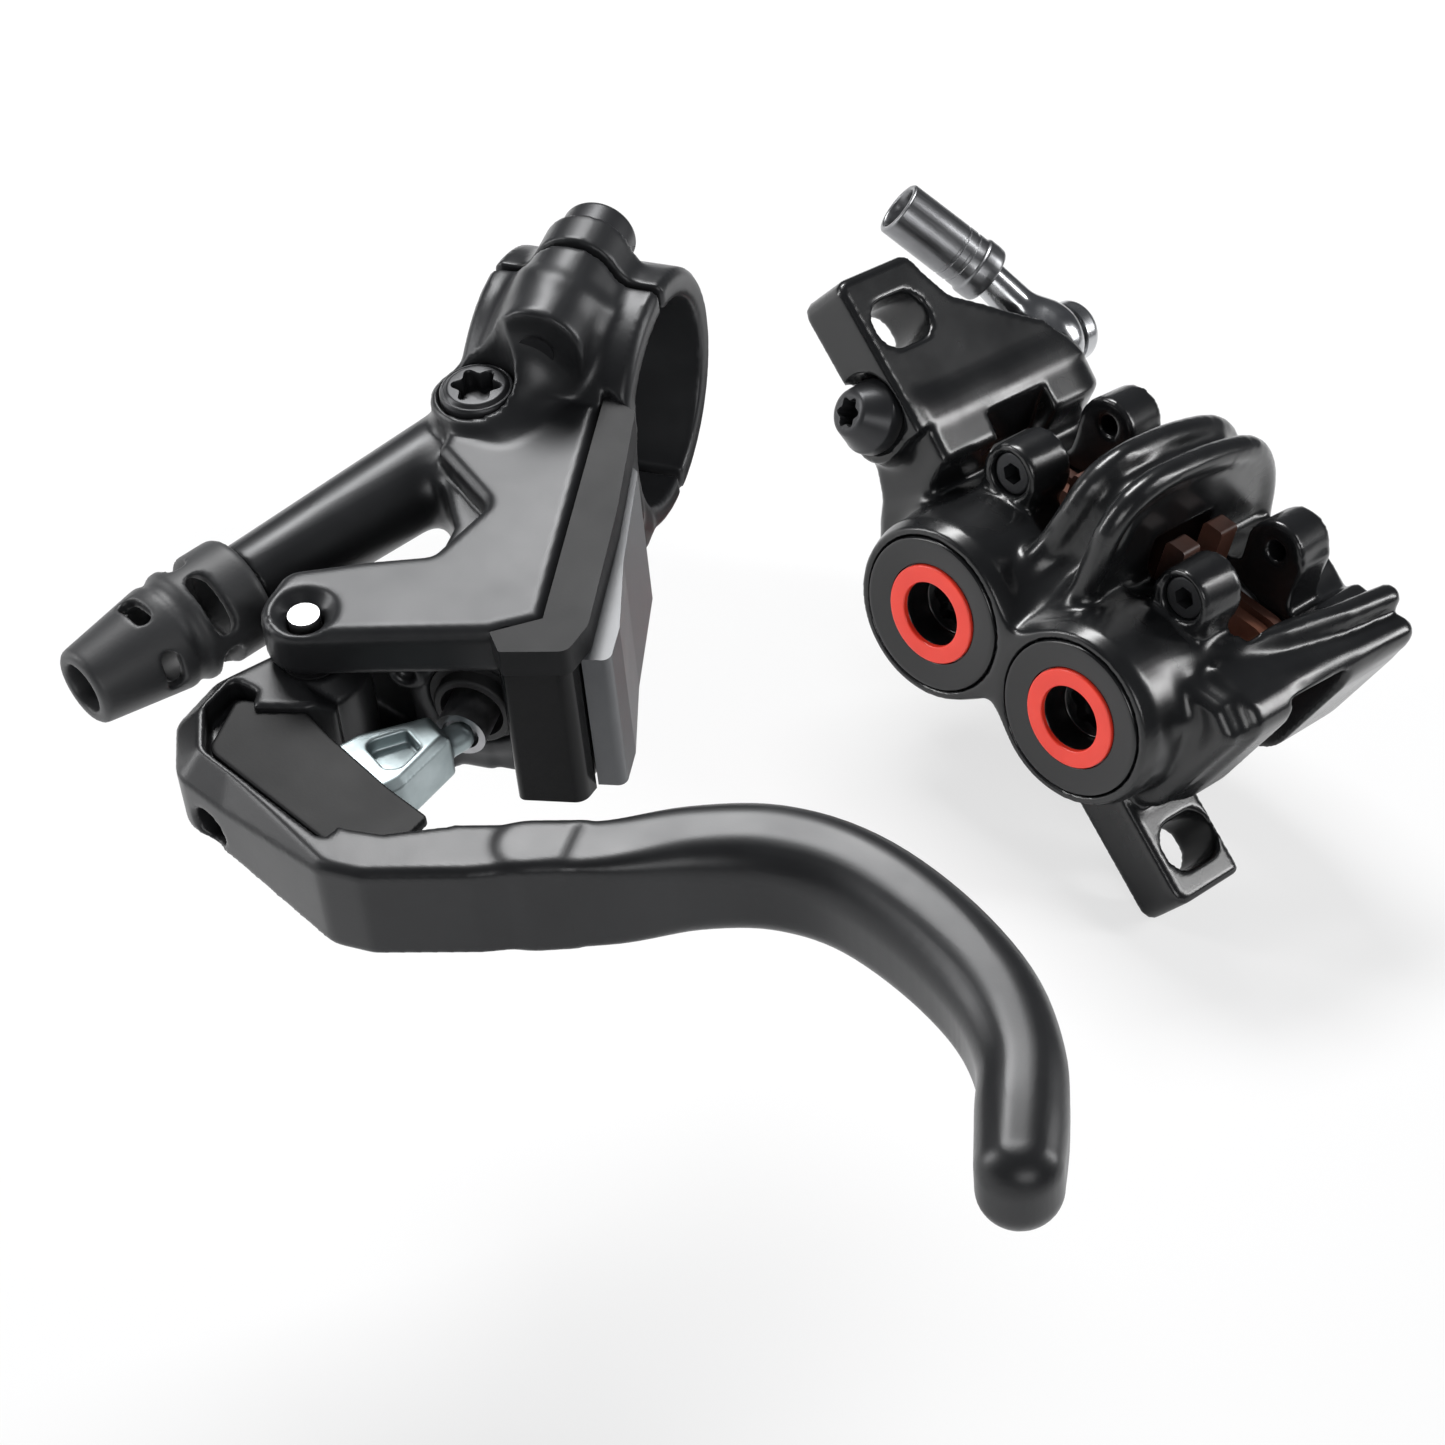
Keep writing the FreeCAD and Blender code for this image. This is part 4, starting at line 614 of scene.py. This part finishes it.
BLOCK = [(8.6, FRONT_Y), (26.4, FRONT_Y), (27, 6.2), (24.6, 15.9), (21.4, 30.6), (20.6, 37.5), (4.2, 37.5),
         (4.2, 25.8), (8.6, 18)]
LOWER_LUG = [(-5, -5, 4.6), (6.4, -4.6, 3), (12.5, FRONT_Y), (12.5, 14), (2, 9, 2), (-4.6, 5.4, 2.4)]
LUG_ROOT = [(10, FRONT_Y), (16, FRONT_Y), (16, 14), (10, 14)]
REAR_WALL = [(-3.6, 6.2), (2, 6.8), (9.4, 3.6), (12.5, 3), (12.5, 14), (2, 9.4), (-3.6, 7.2)]
FRONT_CORNER = [(19.8, -3), (30, -3), (30, FRONT_Y), (19.8, FRONT_Y)]


def ring_of(s):
    """The handlebar ring with its two screw barrels."""
    shape = slab(disc(s.y, s.z, (BAR_Y, BAR_Z), RING_R), s.x, RING_LOW_X, RING_HIGH_X, bevel=0.7)
    for sign, front in ((1, 36.4), (-1, 34)):
        level = BAR_Z + sign * SCREWS_OFFSET
        low, high = sorted((BAR_Z + sign * 9, level))
        barrel = rod(s, (SCREWS_X, front, level), (SCREWS_X, SCREW_HEAD_Y, level), HOUSING_R, edge=0.5)
        shape = smaller(shape, barrel, 2.2)
        web = [(front + 4, low), (SCREW_HEAD_Y, low), (SCREW_HEAD_Y, high), (front + 4, high)]
        shape = smaller(shape, prism(s, "YZ", web, 7.2, 16.4, 1), 1.5)
    return shape


def master():
    s = Solid((-22, -8, -28), (30, 50, 13), 0.42)
    s.add(prism(s, "XY", BLOCK, -21, -3, 0.6))
    s.add(rod(s, (CYLINDER_X, FRONT_Y, CYLINDER_Z), (CYLINDER_X, 34, CYLINDER_Z), 6.7, edge=0.5), 1.5)
    s.add(prism(s, "XY", LOWER_LUG, -21.6, -18.2, 0.5), 0.6)
    s.add(prism(s, "XY", LUG_ROOT, -21, -15, 0.4), 1)
    s.add(ring_of(s), 3)
    start, stop = HOSE_EXIT - HOSE * 8, HOSE_EXIT + HOSE * ARM_LENGTH
    s.add(rod(s, start, stop, 5.2, 4.4, edge=0.4), 3)
    s.add(prism(s, "XY", PLATE, -6, 0, bevel=0.85), 0.3)
    # Rib from the upper barrel to the port, and the port's boss
    s.add(rod(s, (SCREWS_X, 45, 5.3), (7.6, 31.8, -3.4), HOUSING_R), 2.4)
    s.add(rod(s, (PORT_X, PORT_Y, -13), (PORT_X, PORT_Y, 1.0), HOUSING_R, edge=0.5), 1.2)
    # Wall behind the knuckle, and the small boss beside the link
    s.add(prism(s, "XY", REAR_WALL, -19, -5.5), 0.4)
    s.add(rod(s, (8.6, 6, -8.6), (8.6, 1.9, -8.6), 2.1, edge=0.4), 0.5)
    # Split of the clamp, handlebar, seats of the strip and the front block
    s.keep(s.y - 47.55)
    s.cut(rod(s, (0, BAR_Y, BAR_Z), (24, BAR_Y, BAR_Z), BAR_R), 0.4)
    s.cut(prism(s, "XY", STRIP, -3, 3))
    s.cut(prism(s, "XY", FRONT_CORNER, -24, 0))
    # Piston's bore, pivot holes, port and small boss, hose and screws
    s.cut(rod(s, (CYLINDER_X, 0, CYLINDER_Z), (CYLINDER_X, 32, CYLINDER_Z), 5.05), 0.4)
    s.cut(rod(s, (0, 0, -7), (0, 0, 1), 1.9))
    s.cut(rod(s, (0, 0, -1.45), (0, 0, 0.25), 1.9, 3.75), 0.25)
    s.cut(rod(s, (0, 0, -22), (0, 0, -17), 2.2), 0.3)
    s.cut(rod(s, (PORT_X, PORT_Y, -0.5), (PORT_X, PORT_Y, 13), 4.1), 0.15)
    s.cut(rod(s, (8.6, 2.9, -8.6), (8.6, 1, -8.6), 1.0), 0.2)
    s.cut(rod(s, (PORT_X, PORT_Y, -9), (PORT_X, PORT_Y, 2), 2.6))
    s.cut(rod(s, stop + HOSE, stop - HOSE * 9, 3.85), 0.2)
    for sign in (-1, 1):
        level = BAR_Z + sign * SCREWS_OFFSET
        s.cut(rod(s, (SCREWS_X, 41.5, level), (SCREWS_X, 56, level), 2.1))
    finish_piece(s.mesh("lever_housing", LEVER), "housings", satin, "satin_black", "master_body", "pivot_lugs",
                 "hose_arm")


def cap():
    s = Solid((0, 47, -29), (24, 62.5, 13), 0.42)
    s.add(ring_of(s))
    s.keep(48.45 - s.y)
    s.cut(rod(s, (0, BAR_Y, BAR_Z), (24, BAR_Y, BAR_Z), BAR_R), 0.4)
    for sign in (-1, 1):
        level = BAR_Z + sign * SCREWS_OFFSET
        s.cut(rod(s, (SCREWS_X, SCREW_HEAD_Y, level), (SCREWS_X, 63, level), 4.4), 0.3)
        s.cut(rod(s, (SCREWS_X, 46, level), (SCREWS_X, 56, level), 2.1))
    finish_piece(s.mesh("clamp_half", LEVER), "housings", satin, "satin_black", "clamp_cap")


CLAMP_BOLT = [(0, -17), (1.95, -17), (1.95, 0.1), (4.05, 0.1), (4.05, 2.9, 0.5), (3.6, 3.4, 0.4), (2.35, 3.4),
              (2.25, 3.2), (2.25, 1.2), (0, 1.1)]
PORT_CAP = [(0, -7), (2.45, -7), (2.45, 0.5), (3.6, 0.5), (3.9, 0.9, 0.2), (3.9, 1.9, 0.3), (3.65, 2.25, 0.15),
            (3.45, 2.1, 0.1), (3.3, 2.25, 0.15), (3.05, 2.5, 0.3), (2.3, 2.5), (2.15, 2.3), (2.1, 0.6), (0, 0.5)]

master()
cap()
for label, sign in SIDES:
    seat = along(LEVER, (SCREWS_X, SCREW_HEAD_Y, BAR_Z + sign * SCREWS_OFFSET), (0, 1, 0))
    screw = turned(f"clamp_bolt_{label}", CLAMP_BOLT, seat, (14, 16, 6, 0.15))
    finish_piece(screw, "housings", dark_screw, "dark_steel", f"clamp_screw_{label}")
seat = LEVER @ Matrix.Translation(Vector((PORT_X, PORT_Y, -0.4)) * MM)
screw = turned("port_cap", PORT_CAP, seat @ Matrix.Rotation(0.2, 4, "Z"), (34, 36, 6, 0.17))
finish_piece(screw, "housings", dark_screw, "dark_steel", "port_screw")


# Hose sleeve, drawn along its own axis and then laid on the arm

SLEEVE = [(0, 0.3), (5.7, 0.3), (6, 1), (6, 7.9), (5.5, 8.5), (5.4, 9.3), (5.7, 9.8), (4.1, 19.7), (3.6, 20), (0, 20)]
# angles in degrees, lower and upper end, half the length of the straight part
SLEEVE_SLOTS = (((20, 110, 200, 290), 4.6, 7, 2.2), ((65, 155, 245, 335), 11.3, 13.2, 1.2))


def sleeve():
    """Conical plastic sleeve with a step and two rows of oval slots."""
    s = Solid((-7, -7, -0.5), (7, 7, 21), 0.3)
    radial = np.sqrt(s.x ** 2 + s.y ** 2)
    s.add(polygon(radial, s.z, SLEEVE))
    s.soften()
    s.cut(slab(radial - 4.5, s.z, -1, 3.2))
    s.cut(slab(radial - 2.65, s.z, 0, 21), 0.3)
    s.cut(slab(radial - 4.2, s.z, 3, 12.5, 0.5), 0.3)
    for angles, low, high, straight in SLEEVE_SLOTS:
        for degrees in angles:
            a = math.radians(degrees)
            u = -s.x * math.sin(a) + s.y * math.cos(a)
            w = s.x * math.cos(a) + s.y * math.sin(a)
            beyond = np.maximum(np.abs(u) - straight, 0)
            flat = disc(beyond, s.z, (0, (low + high) / 2), (high - low) / 2)
            s.cut(np.maximum(flat, 1.2 - w), 0.3)
    place = along(LEVER, HOSE_EXIT + HOSE * ARM_LENGTH, HOSE)
    finish_piece(s.mesh("sleeve", place), "housings", plastic, "rubber", "hose_sleeve")


sleeve()


# Blade, link and the floor of the knuckle's recess

# x, y, width, height and rounding of the finger hook
STATIONS = [(29.5, -18.6, 6.4, 11.6, 0.8), (36.5, -16.4, 7, 11.6, 1.6), (43.5, -12.8, 8.6, 11.6, 3),
            (51, -10.9, 9.4, 11.6, 3.6), (59, -12, 9.4, 11.5, 3.8), (67.5, -16.4, 9.2, 11.3, 3.8),
            (75, -22.6, 8.8, 11, 3.8), (79.4, -29.2, 8.2, 10.6, 3.6), (81.2, -35.4, 8.4, 10.4, 3.6),
            (82.4, -40.8, 8, 9.8, 3.4)]
BLADE_LOW, BLADE_HIGH = -17.9, -6.3
KNUCKLE = [(-3.8, 3.4), (-9.4, -3.4, 3), (-10.9, -9.8, 3), (-8.2, -16.2, 4), (10.8, -26, 3), (15.2, -26.2, 3),
           (25.3, -23.6, 6), (33.5, -20.4), (33.5, -14.4), (22.1, -17.3), (17.6, -15.6, 3), (5.6, -7.8, 2),
           (3.8, -3.8)]
RECESS = [(-6.6, -4.6, 0.8), (-7.8, -8.8, 1), (-5.6, -14.2, 1.5), (10.4, -22.8, 1), (11, -20, 1),
          (-2.6, -11.6, 1.5), (-3.6, -5.6, 0.8)]
CHANNEL = [(-5.4, -8.2, 1.5), (2, -6.6), (5.2, -4), (24, -14), (21.5, -18), (15.4, -20.6, 1.5), (11.6, -20.8, 1.5),
           (-4.4, -13.2, 1.5)]
FLOOR_WINDOW = [(12.5, -16.4, 0.8), (17.5, -17.8, 0.8), (12.6, -19.6, 0.8), (5, -16.4, 0.8)]
REACH_SEAT = ((-6.2, -21.6, -13.4), (-3.4, -15.4, -13.4))
LINK_PIN, LINK_TURN = (9, -11, -14.5), math.atan2(8.8, 6.6)
LINK = [(-3, -4.3, 1.5), (2.2, -4.4, 1), (9.2, -2, 0.6), (9.2, 2, 0.6), (2.2, 4.4, 1), (-3, 4.3, 1.5)]
LINK_POCKET = [(1.9, 2.5, 1), (6.2, 1.3, 0.6), (6.1, -1.6, 0.6), (3, -2.7, 1), (1.7, -1.8, 0.8)]
LINK_BALL, LINK_BALL_R = (11, 0, 2.9), 1.5
DECK = [(-5.6, -6.4, 1), (1.6, -6.2, 1), (5.6, -9.2, 1), (13.5, -14.2, 1), (18.6, -16.9, 0.6), (17.4, -20.4, 0.8),
        (10.8, -22.6, 1), (-5.6, -13.6, 2)]


def hook(s, middle):
    """The finger hook: a rounded bar along a smooth line, its width, height and rounding changing on the way."""
    line = curve_through(STATIONS, 6)
    best = None
    for a, b in zip(line, line[1:]):
        ex, ey = b[0] - a[0], b[1] - a[1]
        t = np.clip(((s.x - a[0]) * ex + (s.y - a[1]) * ey) / (ex * ex + ey * ey), 0, 1)
        far = np.sqrt((s.x - a[0] - t * ex) ** 2 + (s.y - a[1] - t * ey) ** 2)
        values = [far] + [a[k] + (b[k] - a[k]) * t for k in (2, 3, 4)]
        if best is None:
            best = values
        else:
            near = far < best[0]
            best = [np.where(near, new, old) for new, old in zip(values, best)]
    far, width, tall, edge = best
    return round_rim(far - width / 2, np.abs(s.z - middle) - tall / 2, edge)


def blade():
    s = Solid((-14, -49, -19.5), (90, 8, -4.8), 0.38)
    plan = np.minimum(polygon(s.x, s.y, outline(KNUCKLE)), disc(s.x, s.y, (0, 0), 5.4))
    # The bevel is widest at the pivot
    wide = 2.6 - 1.9 * np.clip((s.x + 2) / 14, 0, 1)
    s.add(slab(plan, s.z, BLADE_LOW, BLADE_HIGH, bevel=wide))
    s.add(hook(s, (BLADE_LOW + BLADE_HIGH) / 2), 1.2)
    # Recess behind the rim, channel for the link, and the window through its floor
    s.cut(prism(s, "XY", RECESS, -9.2, -2, 0.4), 0.3)
    s.cut(prism(s, "XY", CHANNEL, BLADE_LOW + 2.2, 0, 0.3), 0.4)
    s.cut(prism(s, "XY", FLOOR_WINDOW, -20, -14), 0.3)
    s.cut(rod(s, (0, 0, -20), (0, 0, 0), 3.0))
    s.cut(rod(s, *REACH_SEAT, 2.2), 0.4)
    finish_piece(s.mesh("lever_blade", LEVER), "lever", blade_black, "satin_black", "blade")


def cast_link():
    """The link between blade and piston, drawn along its own length: wide at the blade, with a pocket on top."""
    s = Solid((-4.5, -6, -0.5), (13, 6, 7), 0.2)
    s.add(prism(s, "XY", LINK, 0.05, 6.05, bevel=0.75))
    s.add(rod(s, (7, 0, 2.9), LINK_BALL, LINK_BALL_R), 0.6)
    s.add(ball(s, LINK_BALL, LINK_BALL_R))
    s.cut(prism(s, "XY", LINK_POCKET, 4.4, 9, 0.3), 0.25)
    s.cut(rod(s, (0, 0, -1), (0, 0, 5.5), 1.8))
    place = LEVER @ Matrix.Translation(Vector(LINK_PIN) * MM) @ Matrix.Rotation(LINK_TURN, 4, "Z")
    finish_piece(s.mesh("link_casting", place), "push_link", cast_metal, "satin_grey", "push_link")


def deck():
    """Floor of the knuckle's recess, which hides the wide end of the link. Its very dark, dull material is painted
    shade for the recess.
    """
    s = Solid((-8, -24, -9), (20, -4, -6.5), 0.2)
    s.add(prism(s, "XY", DECK, -8.15, -7.1, 0.2))
    finish_piece(s.mesh("knuckle_deck", LEVER), "lever", deck_painted_shade, "satin_black")


blade()
cast_link()
deck()


# Stage: a pale floor that glows a little for the camera, and an even backdrop

FLOOR_REACH, FLOOR_GAP = 6, 0.0005  # metres
FLOOR_GLOW, FLOOR_GLOW_SHARE = 0.93, 0.72
SKY_LIGHT, BACKDROP = 0.12, 0.96
WHITE = (1, 1, 1, 1)


def floor_material():
    material, tree, shader = nodes_of("floor_pale")
    colour_from(tree, shader, noise(tree, 3, 2), ((0.3, (0.85, 0.85, 0.85)), (0.7, (0.88, 0.88, 0.88))))
    shader.inputs["Roughness"].default_value = 0.9
    glow = tree.nodes.new("ShaderNodeEmission")
    glow.inputs["Color"].default_value = WHITE
    glow.inputs["Strength"].default_value = FLOOR_GLOW
    share = tree.nodes.new("ShaderNodeMath")
    share.operation = "MULTIPLY"
    share.inputs[1].default_value = FLOOR_GLOW_SHARE
    mix = tree.nodes.new("ShaderNodeMixShader")
    link(tree, tree.nodes.new("ShaderNodeLightPath"), "Is Camera Ray", share, 0)
    link(tree, share, 0, mix, 0)
    link(tree, shader, 0, mix, 1)
    link(tree, glow, 0, mix, 2)
    link(tree, mix, 0, tree.nodes["Material Output"], "Surface")
    return material


def backdrop():
    world = bpy.data.worlds.new("studio")
    bpy.context.scene.world = world
    world.use_nodes = True
    tree = world.node_tree
    light = tree.nodes["Background"]
    light.inputs["Color"].default_value = (0.9, 0.93, 1, 1)
    light.inputs["Strength"].default_value = SKY_LIGHT
    seen = tree.nodes.new("ShaderNodeBackground")
    seen.inputs["Color"].default_value = WHITE
    seen.inputs["Strength"].default_value = BACKDROP
    mix = tree.nodes.new("ShaderNodeMixShader")
    link(tree, tree.nodes.new("ShaderNodeLightPath"), "Is Camera Ray", mix, 0)
    link(tree, light, 0, mix, 1)
    link(tree, seen, 0, mix, 2)
    link(tree, mix, 0, tree.nodes["World Output"], "Surface")


floor_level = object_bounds()[0][2] - FLOOR_GAP
floor_data = bpy.data.meshes.new("floor")
floor_corners = [(x * FLOOR_REACH, y * FLOOR_REACH, 0) for x, y in ((-1, -1), (1, -1), (1, 1), (-1, 1))]
floor_data.from_pydata(floor_corners, [], [(0, 1, 2, 3)])
floor = piece("floor", floor_data, Matrix.Translation((0, 0, floor_level)))
floor_data.materials.append(floor_material())
backdrop()


# Camera and lights

RIGHT, UP, BACK = Vector((0.706, 0.677, 0.209)), Vector((-0.5595, 0.3518, 0.7506)), Vector((0.435, -0.646, 0.627))
EYE = Vector((0.1933, -0.3671, 0.2957))
TARGET = EYE - BACK * 0.47
FOCAL_PX, PHOTO_PX, SENSOR_MM = 4000, 1445, 36
# name, metres right, up and back of the target, width and height in metres, power in watts
SOFTBOXES = (("key_top", -0.1, 0.8, 0.12, 0.46, 0.2, 7.5), ("strip_left", -0.8, 0.35, 0.2, 0.1, 0.6, 4),
             ("strip_right", 0.8, 0.3, 0.1, 0.1, 0.5, 3.4), ("front_fill", 0.2, -0.2, 0.85, 0.5, 0.3, 2.2))


def softbox(name, right, up, back, width, height, power):
    """A soft light placed by the camera's own right, up and back directions, aimed at the object."""
    data = bpy.data.lights.new(name, "AREA")
    data.shape = "RECTANGLE"
    data.size, data.size_y = width, height
    data.energy = power
    place = TARGET + RIGHT * right + UP * up + BACK * back
    aim = (TARGET - place).to_track_quat("-Z", "Y").to_matrix().to_4x4()
    piece(name, data, Matrix.Translation(place) @ aim)


for box in SOFTBOXES:
    softbox(*box)

camera_data = bpy.data.cameras.new("camera")
camera_data.lens = FOCAL_PX / PHOTO_PX * SENSOR_MM
camera_data.sensor_width = SENSOR_MM
camera_data.clip_start = 0.01
pose = Matrix.Identity(4)
for column, axis in enumerate((RIGHT.normalized(), UP.normalized(), BACK.normalized(), EYE)):
    for row in range(3):
        pose[row][column] = axis[row]
camera = piece("camera", camera_data, pose)
bpy.context.scene.camera = camera
bpy.context.scene.view_settings.view_transform = "Standard"

bpy.context.view_layer.update()
